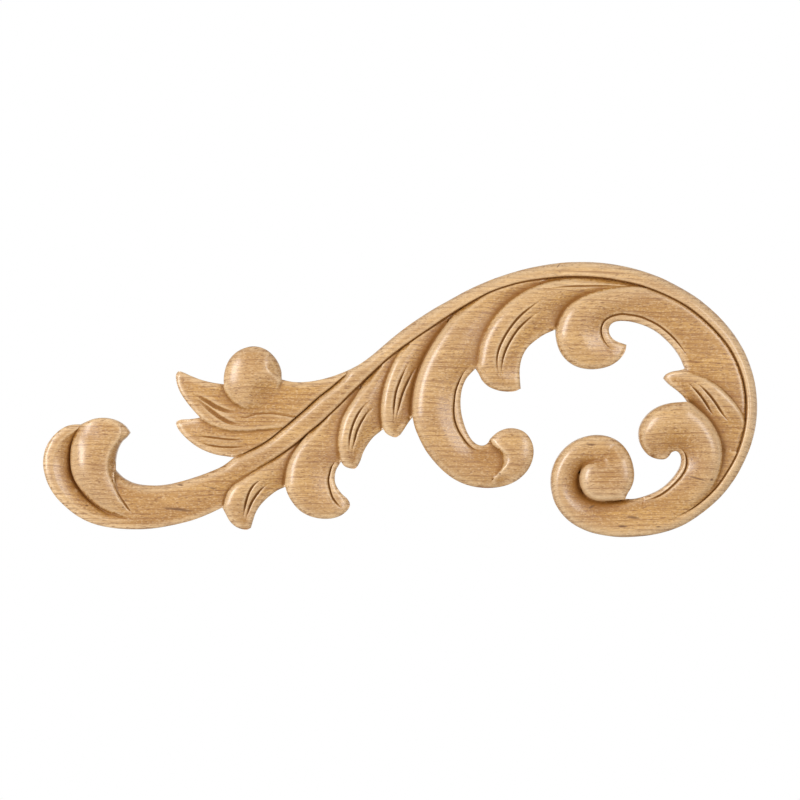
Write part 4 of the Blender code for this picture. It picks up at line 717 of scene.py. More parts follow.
# Stem and rib, from the tail round the outside of the band
leaf(
    back=[
        (-127, -17), (-124.5, -23.7), (-122, -27.9), (-119.8, -29.6), (-117.6, -32), (-114.7, -34.1),
        (-111, -35.4), (-105.1, -36.3), (-99.1, -35.8), (-93, -34.8), (-87.2, -32.9), (-81, -30.6),
        (-74.8, -28), (-69.9, -24.4), (-63.2, -21.4), (-58.1, -18.7), (-54.3, -16.2), (-49.7, -12.4),
        (-46.3, -9.4), (-43, -6.7), (-39.6, -3.8), (-34.6, 0.7), (-28.7, 5.3), (-23.6, 9.8), (-21.3, 12.7),
        (-15.7, 15.5), (-11.3, 19.2), (-7.1, 22.7), (-2.5, 26.6), (2.7, 30.4), (8.2, 34.4), (14.1, 38.1),
        (20.9, 42), (27.1, 45.3), (32.5, 48.1), (38.1, 50.2), (44, 52.5), (50.3, 54.2), (57, 55.8),
        (62.9, 56.9), (69.7, 57.5), (75.6, 57.9), (81.4, 57.7), (86.9, 57.2), (92.4, 56.3), (98.3, 55),
        (104.2, 53.3), (109.9, 50.9), (115.3, 48.4), (120.3, 45.6), (125.7, 42.1), (130.3, 38.1),
        (134.5, 34.1), (138.5, 29.7), (141.7, 25.4), (144.5, 20.1), (146.8, 15.1), (148.4, 9.4),
        (149.6, 3.1), (150, -2.7), (149.7, -8.6), (148.8, -14.4), (146.9, -20.1), (144.7, -26),
        (141.4, -31.7), (137.9, -37.2), (133.7, -42), (128.9, -45.9), (123.8, -50), (118.4, -53),
        (112.7, -55.3), (105.8, -57),
    ],
    belly=[
        (-132.9, -10.3), (-137.1, -10.5), (-140.2, -11.2), (-143.3, -12.9), (-146.5, -16.1),
        (-148.4, -19.5), (-149.7, -23.1), (-149.9, -27.1), (-149.4, -31.4), (-147.4, -36.6),
        (-144.6, -40.7), (-140.5, -45.2), (-135, -49.3), (-129.2, -52.2), (-122, -53.8), (-113.6, -54.5),
        (-105.2, -54.3), (-96.8, -53.1), (-87.1, -50.5), (-80.3, -48), (-74.8, -45.4), (-73.7, -41.7),
        (-72.4, -38.6), (-69.9, -35.8), (-66.1, -33.3), (-61.5, -30.3), (-58.1, -28.1), (-53.9, -25.5),
        (-50.1, -23), (-46.3, -20.4), (-42.1, -17), (-38.4, -13.8), (-33.7, -10), (-29.5, -6.2),
        (-25.3, -2.1), (-21.1, 2.2), (-16.9, 6.3), (-12.7, 10.3), (-8.5, 14.2), (-4.3, 17.9), (0.7, 21.8),
        (6.6, 25.9), (12.5, 29.9), (18.8, 34.2), (25.1, 38.2), (31.4, 41.8), (37.7, 45), (44, 47.3),
        (50.8, 49.2), (58.7, 50.5), (67.1, 51.4), (75.6, 51.6), (84, 51.1), (92.4, 49.8), (100.8, 47.9),
        (107.1, 45.6), (113.4, 42.9), (119.7, 39.5), (126, 34.9), (132.3, 29), (137.8, 22.4),
        (141.5, 15.7), (144.1, 8.2), (145.3, 0.7), (145.3, -6.5), (144.5, -12.8), (142.9, -18.9),
        (140.7, -24.4), (137.3, -30.4), (132.7, -36.9), (127.3, -42.2), (121.8, -46.2), (115.5, -49.4),
        (105.8, -52.7),
    ],
    back_heights=(9.6, 9.2, 9.6, 10.2, 10.4, 9.4, 9.0, 9.0, 9.0, 9.0, 9.0, 9.0, 9.0, 9.0),
    belly_heights=(9.6, 11.2, 10.2, 9.4, 9.8, 10.2, 10.2, 10.2, 10.2, 10.2, 10.2, 10.2, 10.2, 9.6),
    crown=0.06,
    round_widths=(3.4, 3.4),
    fall=0.88,
    fades=[(105.8, -54.8, 31.5)],
)

# Hollow between the tail's outer edge and its inner roll
hollow(
    arris=[
        (-133.8, -11.1), (-137, -13.2), (-141, -15.7), (-143.9, -19.3), (-145.7, -23.3), (-146.3, -27.1),
        (-145.7, -31.3), (-144.1, -35.9), (-141.3, -39.9), (-137.8, -43.5), (-132.9, -46.8), (-127, -49.4),
        (-120.3, -50.8), (-112.7, -50.8),
    ],
    foot=[
        (-133.8, -11.1), (-135, -13.2), (-136.5, -16.8), (-137.3, -20.8), (-137.5, -25), (-137.1, -29.6),
        (-135.7, -33.8), (-133.1, -37.4), (-130.2, -40.5), (-126.8, -43.5), (-122.8, -46), (-117.8, -48.5),
        (-112.7, -50.8),
    ],
    depths=(2.4, 4.4, 5.8, 6.0, 5.4, 4.0, 1.2),
    bow=-0.3,
    fades=[(-111.1, -50.2, 14.3)],
)

# Inner roll of the tail
leaf(
    back=[
        (-134.4, -10.5), (-135.9, -13.4), (-137.5, -16.8), (-138.4, -20.8), (-138.6, -25), (-138.2, -29.6),
        (-136.7, -34), (-134.2, -37.8), (-131.2, -41.1), (-127.9, -44.1), (-123.7, -46.8), (-118.6, -49.4),
        (-111.9, -50.2),
    ],
    belly=[
        (-134.4, -10.5), (-131.6, -9.2), (-128.7, -8.1), (-125.4, -7.7), (-122, -8), (-118.8, -9.1),
        (-115.7, -11.1), (-113.6, -13.9), (-114.8, -15.6), (-117, -17.7), (-118.8, -21.2), (-119.7, -25.4),
        (-120.3, -29.6), (-120.1, -33.8), (-118.8, -37.6), (-116.7, -41.4), (-114.2, -45.2),
        (-111.9, -50.2),
    ],
    back_heights=(11.2, 13.2, 13.8, 13.4, 12.4, 9.8),
    belly_heights=(10.6, 11.4, 11.6, 11.8, 11.8, 11.4, 10.0),
    crown=0.09,
    round_widths=(5, 9, 10, 10, 8, 3),
    fall=0.45,
    fades=[(-110.6, -50.2, 14.3)],
)

# Bevel along the roll's right edge
hollow(
    arris=[
        (-119.1, -9), (-117.6, -12), (-118, -15.7), (-120.1, -18.8), (-122, -22.2), (-123, -26.1),
        (-122.9, -30.4), (-120.9, -35.3),
    ],
    foot=[
        (-118.2, -9), (-113.6, -13.9), (-114.8, -15.6), (-117, -17.7), (-118.8, -21.2), (-119.7, -25.4),
        (-120.3, -29.6), (-120.5, -35.3),
    ],
    depths=(0.2, 1.8, 2.3, 2.4, 2.0, 0.8),
    bow=0.1,
)

def surface(places):
    """Height of the carved face above the back at the places, and which form is on top there."""
    heights = np.full(len(places), GROUND_HEIGHT)
    owners = np.full(len(places), -1)
    for number, form in enumerate(forms):
        low, high = form["loop"].min(axis=0), form["loop"].max(axis=0)
        near = np.flatnonzero(((places >= low) & (places <= high)).all(axis=1))
        near = near[inside(places[near], form["loop"])]
        if not len(near):
            continue
        there = places[near]
        height, cover = form["carve"](there, heights[near])
        for x, z, reach in form["fades"]:
            cover = np.minimum(cover, ease(np.linalg.norm(there - (x, z), axis=1) / reach))
        heights[near] += (height - heights[near]) * cover
        owners[near] = number
    return heights, owners


# The veins, beads and grooves: cuts made with a parting tool along their lines, all a rounded V in section.
# They run out at both ends. A tree of nodes sinks each kind into the finished face.
# Each has a width, a depth, and the share of its length over which each end runs out.
RIB = (0.9, 0.65, 0.12)
RIM = (1.0, 0.95, 0.07)
LINE = (1.0, 0.8, 0.35)
CREASE = (1.2, 0.9, 0.30)
VEIN = (1.3, 1.4, 0.35)
BEAD = (1.05, 1.2, 0.22)
FLUTE = (2.4, 1.3, 0.40)
cuts = []


def cut(kind, points):
    cuts.append((smooth(points, CURVE_STEP), kind))


# Groove above the rib
cut(RIB, [
    (-69, -24.4), (-63.2, -21.4), (-58.1, -18.7), (-54.3, -16.2), (-49.7, -12.4), (-46.3, -9.4),
    (-43, -6.7), (-39.6, -3.8), (-34.6, 0.7), (-28.7, 5.3), (-23.6, 9.8), (-21.1, 12),
])
# Groove below the rib and inside the rim
cut(RIM, [
    (-63.2, -31.5), (-58.1, -28.1), (-53.9, -25.5), (-50.1, -23), (-46.3, -20.4), (-42.1, -17),
    (-38.4, -13.8), (-33.7, -10), (-29.5, -6.2), (-25.3, -2.1), (-21.1, 2.2), (-16.9, 6.3), (-12.7, 10.3),
    (-8.5, 14.2), (-4.3, 17.9), (0.7, 21.8), (6.6, 25.9), (12.5, 29.9), (18.8, 34.2), (25.1, 38.2),
    (31.4, 41.8), (37.7, 45), (44, 47.3), (50.8, 49.2), (58.7, 50.5), (67.1, 51.4), (75.6, 51.6),
    (84, 51.1), (92.4, 49.8), (100.8, 47.9), (107.1, 45.6), (113.4, 42.9), (119.7, 39.5), (126, 34.9),
    (132.3, 29), (137.8, 22.4), (141.5, 15.7), (144.1, 8.2), (145.3, 0.7), (145.3, -6.5), (144.5, -12.8),
    (142.9, -18.9), (140.7, -24.4), (137.3, -30.4), (132.7, -36.9), (127.3, -42.2), (121.8, -46.2),
    (115.5, -49.1), (109.2, -51),
])
# Crease at the tail roll's right edge
cut(LINE, [
    (-120.5, -34), (-118.9, -38.2), (-116.7, -42.2), (-114.2, -45.8), (-111.3, -48.9),
])
# Crease between the tail's two rolls
cut(CREASE, [
    (-135, -12), (-136.7, -15.1), (-138.4, -19.1), (-138.9, -24.6), (-138.6, -29.6), (-137, -34.2),
    (-134.6, -38), (-131.7, -41.4), (-128.3, -44.4), (-124.1, -47.3), (-119.1, -49.6),
])
# Veins of the first small leaf
cut(VEIN, [
    (-57.7, -33.4), (-61.1, -35.5), (-63.2, -38.4), (-64.6, -42.2), (-65.5, -46.4), (-65.7, -49.8),
])
cut(VEIN, [
    (-55.2, -35.3), (-58.1, -37.4), (-60.6, -40.3), (-62.7, -43.7), (-64, -47.3), (-64.8, -50.6),
])
# Bead along the hooked leaf's inner edge
cut(BEAD, [
    (-26.6, -25.4), (-28.7, -27.9), (-29.7, -30.9), (-30.2, -34.2), (-29.5, -38), (-28.3, -41.4),
    (-26.2, -44.1), (-24.1, -46),
])
# Veins of the second small leaf
cut(VEIN, [
    (-12.7, -0.2), (-15.7, -3.1), (-17.8, -6.1), (-19.6, -9.8), (-20.9, -14.1), (-21.5, -18.3),
    (-21.2, -22.9),
])
cut(VEIN, [
    (-11, -3.3), (-13.6, -5.2), (-16.1, -8.8), (-18.2, -13.2), (-19.4, -17.8), (-20.3, -22.5),
])
# Veins of the third small leaf
cut(VEIN, [
    (3.7, 15.6), (1.6, 11.8), (-0.4, 7.4), (-1.8, 3.2), (-2.6, -1.9), (-2.8, -6.1), (-2.4, -10.3),
])
cut(VEIN, [
    (7, 13.9), (4.5, 10.3), (2, 5.3), (0.3, 0.7), (-0.9, -4.2), (-1.8, -8.6),
])
# Bead along the crook's inner edge
cut(BEAD, [
    (28.9, 13.9), (26.4, 11), (24.7, 7.8), (23.2, 3.6), (22.6, -0.6), (22.4, -4.8), (22.8, -8.6),
    (24.1, -12.4), (26, -15.7), (28.3, -18.7), (31, -20.8), (34.8, -21.4),
])
# Veins of the blade
cut(VEIN, [
    (61.3, 43.5), (55.4, 39.3), (50.3, 35.1), (46.1, 30.1), (42.8, 24.6), (40.9, 19.6), (40.5, 14.9),
    (41.3, 11.2), (42.8, 8.2),
])
cut(VEIN, [
    (59.2, 37.6), (54.5, 34.3), (49.9, 30.1), (46.1, 24.6), (43.6, 19.2), (42.6, 14.1), (42.9, 9.1),
])
# Line between the blade's root and the band
cut(LINE, [
    (60.8, 46.7), (69.2, 47.4), (79.8, 47.7), (89, 47.7), (96.6, 47.5),
])
# Bead along the band's and volute's inner edge
cut(BEAD, [
    (121.4, 16.6), (118.8, 20.8), (115.9, 24.6), (112.5, 28), (108.3, 31.2), (104.1, 33.4), (100.8, 34.7),
    (96.6, 35.5), (92.4, 35.8), (88.2, 34.7), (85.6, 32.9), (84.4, 30.3), (84.4, 27.6), (85.6, 24.6),
    (87.7, 22.1), (90.7, 20),
])
# Veins of the spur
cut(VEIN, [
    (120.5, 7), (122.6, 5.3), (125.1, 2.8), (127.7, -0.6), (129.8, -4), (131.9, -7.7),
])
cut(VEIN, [
    (123.5, 7.2), (126.4, 5.3), (129.4, 2.3), (132.3, -1.4), (134.8, -5.2), (138.2, -9.8),
])
# Bead along the curl's inner edge
cut(BEAD, [
    (116.3, -19.9), (118.4, -21.2), (119.8, -23.3), (120.2, -26.7), (119.5, -29.6), (118.2, -31.9),
    (115.9, -34.6), (112.5, -37.8), (109.2, -40.1), (105.8, -41.6), (102, -42.6),
])
# Flutes of the upper fern leaf
cut(FLUTE, [
    (-88.4, 3.6), (-84.6, 1.3), (-80.8, -1), (-76.6, -3.5), (-72, -5), (-66.5, -5.2),
])
cut(FLUTE, [
    (-86.7, 1.1), (-82.9, -1.9), (-79.1, -5), (-74.9, -8), (-70.3, -10.1), (-64.4, -10.9),
])
# Flutes of the lower fern leaf
cut(LINE, [
    (-88.4, -15.3), (-82.9, -15.5), (-77.4, -16.2), (-70.7, -16.8), (-63.2, -16.6),
])
cut(LINE, [
    (-85.8, -17.4), (-82.1, -18.7), (-77.4, -19.7), (-71.6, -20.1), (-63.2, -19.5),
])

# The face's facets follow the outline, the edge and foot of each leaf, and the bottom and rims of each cut.
places = []
edges = []


def follow(line):
    """Lets the facets follow the line."""
    start = len(places)
    places.extend(line.tolist())
    edges.extend((start + i, start + i + 1) for i in range(len(line) - 1))


def stretches(line, good):
    """The stretches of the line in which every point is good."""
    breaks = np.flatnonzero(np.diff(good.astype(int))) + 1
    for stretch, fits in zip(np.split(line, breaks), np.split(good, breaks)):
        if fits[0] and len(stretch) > 3:
            yield stretch


for run in outline_runs:
    follow(run[:-1])
edges = [(i, (i + 1) % len(places)) for i in range(len(places))]
outline = np.array(places)
closed_outline = np.vstack([outline, outline[:1]])


def clear(line, gap=CLEARANCE):
    """Which points of the line lie within the outline and well clear of it."""
    return inside(line, outline) & (nearest(line, closed_outline)[0] > gap)


for shoulder in SHOULDERS:
    for run in outline_runs:
        moved = run - turned_right(run) * shoulder
        for stretch in stretches(moved, clear(moved, 0.9 * shoulder)):
            follow(stretch)

for number, form in enumerate(forms):
    for line in form["edges"]:
        inward = turned_right(line)
        inward *= np.where(inside(line + 0.1 * inward, form["loop"]), 1, -1)[:, None]
        top, foot = line + 0.04 * inward, line - WALL_RUN * inward
        top_height, owner = surface(top)
        good = (owner == number) & (np.abs(top_height - surface(foot)[0]) > LEAST_WALL_HEIGHT)
        good &= clear(top) & clear(foot)
        for stretch in stretches(np.hstack([top, foot]), good):
            follow(stretch[:, :2])
            follow(stretch[:, 2:])
    if form["arris"] is not None:
        line = form["arris"]
        top = (surface(line + 0.05)[1] == number) | (surface(line - 0.05)[1] == number)
        for stretch in stretches(line, top & clear(line)):
            follow(stretch)

for line, (width, depth, run_out) in cuts:
    share = np.linspace(0, 1, len(line))
    full = ease(np.minimum(share, 1 - share) / run_out)
    half = (width / 2 * (0.4 + 0.6 * full))[:, None]
    side = turned_right(line)
    for shift in (-1, -0.5, 0, 0.5, 1):
        moved = line + shift * half * side
        for stretch in stretches(moved, clear(moved)):
            follow(stretch)

# Between these lines the face is filled with evenly spaced points.
tree = KDTree(len(places))
for i, place in enumerate(places):
    tree.insert((*place, 0), i)
tree.balance()
low, high = outline.min(axis=0), outline.max(axis=0)
for row, z in enumerate(np.arange(low[1], high[1], SURFACE_STEP * 0.866)):
    xs = np.arange(low[0] + (row % 2) * SURFACE_STEP / 2, high[0], SURFACE_STEP)
    between = np.stack([xs, np.full(len(xs), z)], axis=1)
    between = between[clear(between, 0.4)]
    places.extend(place for place in between.tolist() if tree.find((*place, 0))[2] > 0.6 * SURFACE_STEP)

plan, _, triangles, *_ = delaunay_2d_cdt([Vector(place) for place in places], edges, [], 1, 1e-4)
plan = np.array([tuple(point) for point in plan])
triangles = np.array(triangles)
heights, _ = surface(plan)

# The sides and the flat back close the piece, from the edges that only one triangle has.
ways = np.concatenate([triangles[:, [0, 1]], triangles[:, [1, 2]], triangles[:, [2, 0]]])
known = {tuple(way) for way in ways.tolist()}
border = {a: b for a, b in known if (b, a) not in known}
loop = [min(border)]
while border[loop[-1]] != loop[0]:
    loop.append(border[loop[-1]])
count = len(plan)
behind = {front: count + i for i, front in enumerate(loop)}
back_faces = delaunay_2d_cdt(
    [Vector(plan[i]) for i in loop], [(i, (i + 1) % len(loop)) for i in range(len(loop))], [], 1, 1e-5)[2]
points = [(x, -height, z) for (x, z), height in zip(plan, heights)]
points += [(plan[i][0], 0.0, plan[i][1]) for i in loop]
points = np.array(points)
low, high = points.min(axis=0), points.max(axis=0)
points[:, [0, 2]] -= (low + high)[[0, 2]] / 2
points *= np.subtract(cad_box[1], cad_box[0]) / (high - low)
faces = triangles.tolist()
faces += [[b, a, behind[a], behind[b]] for a, b in border.items()]
back_start = len(faces)
faces += [[count + i for i in face[::-1]] for face in back_faces]

mesh = bpy.data.meshes.new("carved_applique")
mesh.from_pydata(points.tolist(), [], faces)
mesh.polygons.foreach_set("use_smooth", np.arange(len(faces)) < back_start)
sharp = mesh.attributes.new("sharp_edge", "BOOLEAN", "EDGE")
ends = np.empty(2 * len(mesh.edges), np.int32)
mesh.edges.foreach_get("vertices", ends)
sharp.data.foreach_set("value", (ends.reshape(-1, 2) >= count).all(axis=1))
applique = bpy.data.objects.new("carved_applique", mesh)
bpy.context.scene.collection.objects.link(applique)


class Socket:
    """One output of a node. Arithmetic on it adds Math nodes to the same tree."""

    def __init__(self, made, output=0):
        self.made = made
        self.out = made.outputs[output]

    @staticmethod
    def add(tree, kind, settings, inputs, output=0):
        """Adds a node: its settings come first, then the values or links of its sockets."""
        made = tree.nodes.new(kind)
        for name, value in settings.items():
            if name == "stops":
                ramp = made.color_ramp.elements
                for position, _ in value[2:]:
                    ramp.new(position)
                for stop, (position, level) in zip(ramp, sorted(value)):
                    stop.position = position
                    stop.color = (level, level, level, 1)
            else:
                setattr(made, name, value)
        for name, value in inputs.items():
            if isinstance(value, Socket):
                tree.links.new(value.out, made.inputs[name])
            else:
                made.inputs[name].default_value = value
        return Socket(made, output)

    def math(self, operation, *values):
        return Socket.add(self.made.id_data, "ShaderNodeMath", {"operation": operation}, dict(enumerate(values)))

    def __add__(self, other):
        return self.math("ADD", self, other)

    def __radd__(self, other):
        return self.math("ADD", other, self)

    def __sub__(self, other):
        return self.math("SUBTRACT", self, other)

    def __rsub__(self, other):
        return self.math("SUBTRACT", other, self)

    def __mul__(self, other):
        return self.math("MULTIPLY", self, other)

    def __rmul__(self, other):
        return self.math("MULTIPLY", other, self)

    def __truediv__(self, other):
        return self.math("DIVIDE", self, other)

    def __rtruediv__(self, other):
        return self.math("DIVIDE", other, self)


# One tree of nodes sinks a rounded V of a given width and depth into the face along given lines.
sinking = bpy.data.node_groups.new("sink_cuts", "GeometryNodeTree")
for name, kind in (("Geometry", "Geometry"), ("Lines", "Object"), ("Width", "Float"), ("Depth", "Float"),
                   ("Wood", "Material")):
    sinking.interface.new_socket(name, in_out="INPUT", socket_type="NodeSocket" + kind)
sinking.interface.new_socket("Geometry", in_out="OUTPUT", socket_type="NodeSocketGeometry")
given = Socket(sinking.nodes.new("NodeGroupInput"))
lines = Socket.add(
    sinking, "GeometryNodeObjectInfo", {}, {"Object": Socket(given.made, "Lines")}, "Geometry")
place = Socket.add(
    sinking, "ShaderNodeSeparateXYZ", {}, {0: Socket.add(sinking, "GeometryNodeInputPosition", {}, {})})
in_plan = Socket.add(sinking, "ShaderNodeCombineXYZ", {}, {"X": place, "Z": Socket(place.made, "Z")})
distance = Socket.add(
    sinking, "GeometryNodeProximity", {"target_element": "EDGES"},
    {0: lines, "Sample Position": in_plan}, "Distance")
closest = Socket.add(
    sinking, "GeometryNodeSampleNearest", {"domain": "POINT"}, {"Geometry": lines, "Sample Position": in_plan})
fullness = Socket.add(
    sinking, "GeometryNodeInputNamedAttribute", {"data_type": "FLOAT"}, {"Name": "fullness"})
full = Socket.add(
    sinking, "GeometryNodeSampleIndex", {"data_type": "FLOAT", "domain": "POINT"},
    {"Geometry": lines, "Value": fullness, "Index": closest})
half = Socket(given.made, "Width") * (0.2 + 0.3 * full)
slope = (1 - distance / half).math("MAXIMUM", 1 - distance / half, 0.0)
on_face = Socket.add(
    sinking, "FunctionNodeCompare", {"operation": "LESS_THAN"}, {"A": Socket(place.made, "Y"), "B": -0.5 * MM})
sunk = Socket(given.made, "Depth") * full * slope
# The share of each cut is also stored in the carved attribute, which the wood reads to paint shade into the cuts.
earlier = Socket.add(sinking, "GeometryNodeInputNamedAttribute", {"data_type": "FLOAT"}, {"Name": "carved"})
steepness = Socket(given.made, "Depth") / Socket(given.made, "Width")
carved_share = earlier.math("MAXIMUM", earlier, full * slope * on_face * steepness)
marked = Socket.add(
    sinking, "GeometryNodeStoreNamedAttribute", {"data_type": "FLOAT", "domain": "POINT"},
    {"Geometry": given, "Name": "carved", "Value": carved_share})
moved = Socket.add(
    sinking, "GeometryNodeSetPosition", {},
    {"Geometry": marked, "Selection": on_face, "Offset": Socket.add(sinking, "ShaderNodeCombineXYZ", {}, {"Y": sunk})})
whole = Socket.add(sinking, "GeometryNodeRealizeInstances", {}, {"Geometry": moved})
finished = Socket.add(
    sinking, "GeometryNodeSetMaterial", {}, {"Geometry": whole, "Material": Socket(given.made, "Wood")})
result = sinking.nodes.new("NodeGroupOutput")
sinking.links.new(finished.out, result.inputs[0])

# The wood: pale close-grained hardwood, plain sawn, sanded smooth and finished with a satin lacquer.
# Growth rings run along the length as thin darker lines, with short fibre flecks and a few mineral streaks.
# Shade is painted darker into the cuts, hollows and low ground, with some lacquer gathered there,
# and highlights and sheen are painted paler onto raised edges and along the outer edge.
wood = bpy.data.materials.new("carved_wood")
wood.use_nodes = True
grain = wood.node_tree
in_mm = Socket.add(
    grain, "ShaderNodeVectorMath", {"operation": "SCALE"},
    {0: Socket.add(grain, "ShaderNodeTexCoord", {}, {}, "Object"), "Scale": 1000.0})
at = Socket.add(grain, "ShaderNodeSeparateXYZ", {}, {0: in_mm})
x, y, z = at, Socket(at.made, "Y"), Socket(at.made, "Z")


def noise(length, depth, height, detail=2.0, seed=0.0):
    """Noise from 0 to 1, with features of about these sizes along X, Y and Z in millimetres."""
    moved = Socket.add(
        grain, "ShaderNodeMapping", {},
        {"Vector": in_mm, "Scale": (1 / length, 1 / depth, 1 / height), "Location": (seed, seed, seed)})
    return Socket.add(grain, "ShaderNodeTexNoise", {}, {"Vector": moved, "Scale": 1.0, "Detail": detail})


def ramp(value, *stops):
    """A level that follows the stops, each a position and a level."""
    return Socket.add(grain, "ShaderNodeValToRGB", {"stops": stops}, {"Fac": value})


def tint(share, below, above):
    """The second colour laid over the first, as far as the share says."""
    return Socket.add(
        grain, "ShaderNodeMix", {"data_type": "RGBA"}, {0: share, 6: below, 7: above}, 2)


# Growth rings, cut nearly square to the face, so that they show as thin lines along the length.
RING_WIDTH = 2.05
waver = noise(90.0, 30.0, 26.0, 1.0, 3.0) * 7.0 + noise(14.0, 6.0, 5.0, 1.0, 8.0) * 0.7
rings = (z + 0.3 * y + waver) / RING_WIDTH
turn = rings.math("FRACT", rings)
strong = ramp(noise(40.0, 6.0, 2.4, 1.0, 5.0), (0.40, 0.0), (0.58, 1.0))
broken = ramp(noise(5.0, 1.5, 1.2, 1.0, 6.0), (0.34, 0.35), (0.54, 1.0))
ring_line = ramp(turn, (0.50, 0.0), (0.84, 1.0), (0.93, 0.4), (1.0, 0.0)) * (0.35 + 0.65 * strong) * broken
fine = rings * 2.7
fine_line = ramp(fine.math("FRACT", fine), (0.3, 0.0), (0.8, 1.0), (1.0, 0.0)) * ramp(
    noise(12.0, 3.0, 1.4, 1.0, 11.0), (0.40, 0.0), (0.60, 1.0))

# Broad drift in tone, fibres, short dark flecks and pores.
drift = noise(55.0, 20.0, 12.0, 2.0, 21.0)
fibre = noise(4.5, 0.5, 0.45, 1.0, 31.0)
fleck = ramp(noise(2.2, 0.5, 0.45, 1.0, 41.0), (0.58, 0.0), (0.70, 1.0))
speckle = noise(1.0, 0.7, 0.6, 1.0, 51.0)

# Mineral streaks: middle, half length, half width and slope, as seen from the front.
streaks = 0.0
for streak_x, streak_z, half_length, half_width, tilt in (
    (-93.5, -46.1, 7.6, 0.67, -0.12),
    (-92.4, -35.9, 1.7, 0.50, -0.1),
    (-78.8, -37.2, 2.1, 0.50, -0.15),
    (-131.7, -44.5, 0.8, 0.42, 0),
    (-116.4, -45.2, 0.5, 0.46, 0),
    (66.3, 56.1, 0.8, 0.42, 1.1),
    (41.7, -31.1, 0.6, 0.50, 0),
    (124.3, -33.0, 5.0, 0.46, -0.28),
    (130.6, -33.6, 0.8, 0.67, 0.2),
    (80.3, -45.0, 1.6, 0.63, 0.45),
    (97.8, -49.5, 3.2, 0.71, -0.12),
    (93.2, -53.2, 2.3, 0.63, -0.08),
    (108.3, -53.4, 1.5, 0.42, 0),
    (79.9, -18.9, 2.1, 0.59, 0),
):
    along = (x - streak_x) / half_length
    aside = (z - streak_z - tilt * (x - streak_x)) / half_width
    reach = along * along + aside * aside
    streaks = streaks + ramp(reach, (0.1, 0.8), (1.0, 0.0))

recess = Socket.add(grain, "ShaderNodeAttribute", {"attribute_name": "recess"}, {}, "Fac")
# Painted shade: hollows, creases and the feet of walls, lying below the wood around them, are tinted darker.
recess_shade = ramp(recess, (0.52, 0.0), (0.70, 0.5), (1.0, 1.0))
# Painted shade in the cuts: the steeper a cut, the darker brown its floor and walls.
carved_in = Socket.add(grain, "ShaderNodeAttribute", {"attribute_name": "carved"}, {}, "Fac")
cut_shade = ramp(carved_in, (0.10, 0.0), (0.75, 1.0))
# Painted highlight: edges and arrises standing above the wood around them are tinted paler.
edge_highlight = ramp(recess, (0.20, 1.0), (0.36, 0.6), (0.49, 0.0))
# Painted shade on ground lying below the wood around it, and painted sheen on raised parts and along the outer edge.
lowness = Socket.add(grain, "ShaderNodeAttribute", {"attribute_name": "lowness"}, {}, "Fac")
low = ramp(lowness, (0.50, 0.0), (0.85, 1.0))
high = ramp(lowness, (0.15, 1.0), (0.50, 0.0))

PALE = (0.505, 0.276, 0.076, 1)
WARM = (0.365, 0.174, 0.035, 1)
SHADED = (0.215, 0.080, 0.008, 1)
RING_BROWN = (0.215, 0.082, 0.016, 1)
FLECK_BROWN = (0.170, 0.062, 0.012, 1)
STREAK_BROWN = (0.100, 0.034, 0.005, 1)
CUT_SHADE_BROWN = (0.190, 0.070, 0.010, 1)
# A pale tone, used for real pale specks in the wood and for painted highlights and sheen.
PALE_SPECK_AND_HIGHLIGHT = (0.74, 0.53, 0.31, 1)
colour = tint(ramp(drift, (0.38, 0.0), (0.62, 1.0)), PALE, WARM)
colour = tint(ramp(fibre, (0.36, 0.8), (0.54, 0.0)), colour, WARM)
colour = tint(ramp(speckle, (0.50, 0.0), (0.68, 0.35)), colour, PALE_SPECK_AND_HIGHLIGHT)
colour = tint(low * 0.80, colour, SHADED)
colour = tint(high * 0.60, colour, PALE_SPECK_AND_HIGHLIGHT)
colour = tint(ring_line * 0.85, colour, RING_BROWN)
colour = tint(fine_line * 0.60, colour, RING_BROWN)
colour = tint(fleck * 0.75, colour, FLECK_BROWN)
colour = tint(edge_highlight * 0.50, colour, PALE_SPECK_AND_HIGHLIGHT)
colour = tint(recess_shade * 0.65, colour, SHADED)
colour = tint(cut_shade * 0.85, colour, CUT_SHADE_BROWN)
colour = tint(streaks, colour, STREAK_BROWN)

lacquer = wood.node_tree.nodes["Principled BSDF"]
bump = Socket.add(
    grain, "ShaderNodeBump", {}, {"Strength": 0.5, "Distance": 0.00012, "Height": fibre * 0.6 + speckle * 0.4 - ring_line * 0.3})
dull = cut_shade.math("MAXIMUM", cut_shade, recess_shade)
grain.links.new(colour.out, lacquer.inputs["Base Color"])
grain.links.new((0.34 + 0.12 * fibre + 0.25 * dull).out, lacquer.inputs["Roughness"])
grain.links.new(bump.out, lacquer.inputs["Normal"])
grain.links.new((0.8 - 0.8 * dull).out, lacquer.inputs["Coat Weight"])
lacquer.inputs["Coat Roughness"].default_value = 0.25
lacquer.inputs["Specular IOR Level"].default_value = 0.30

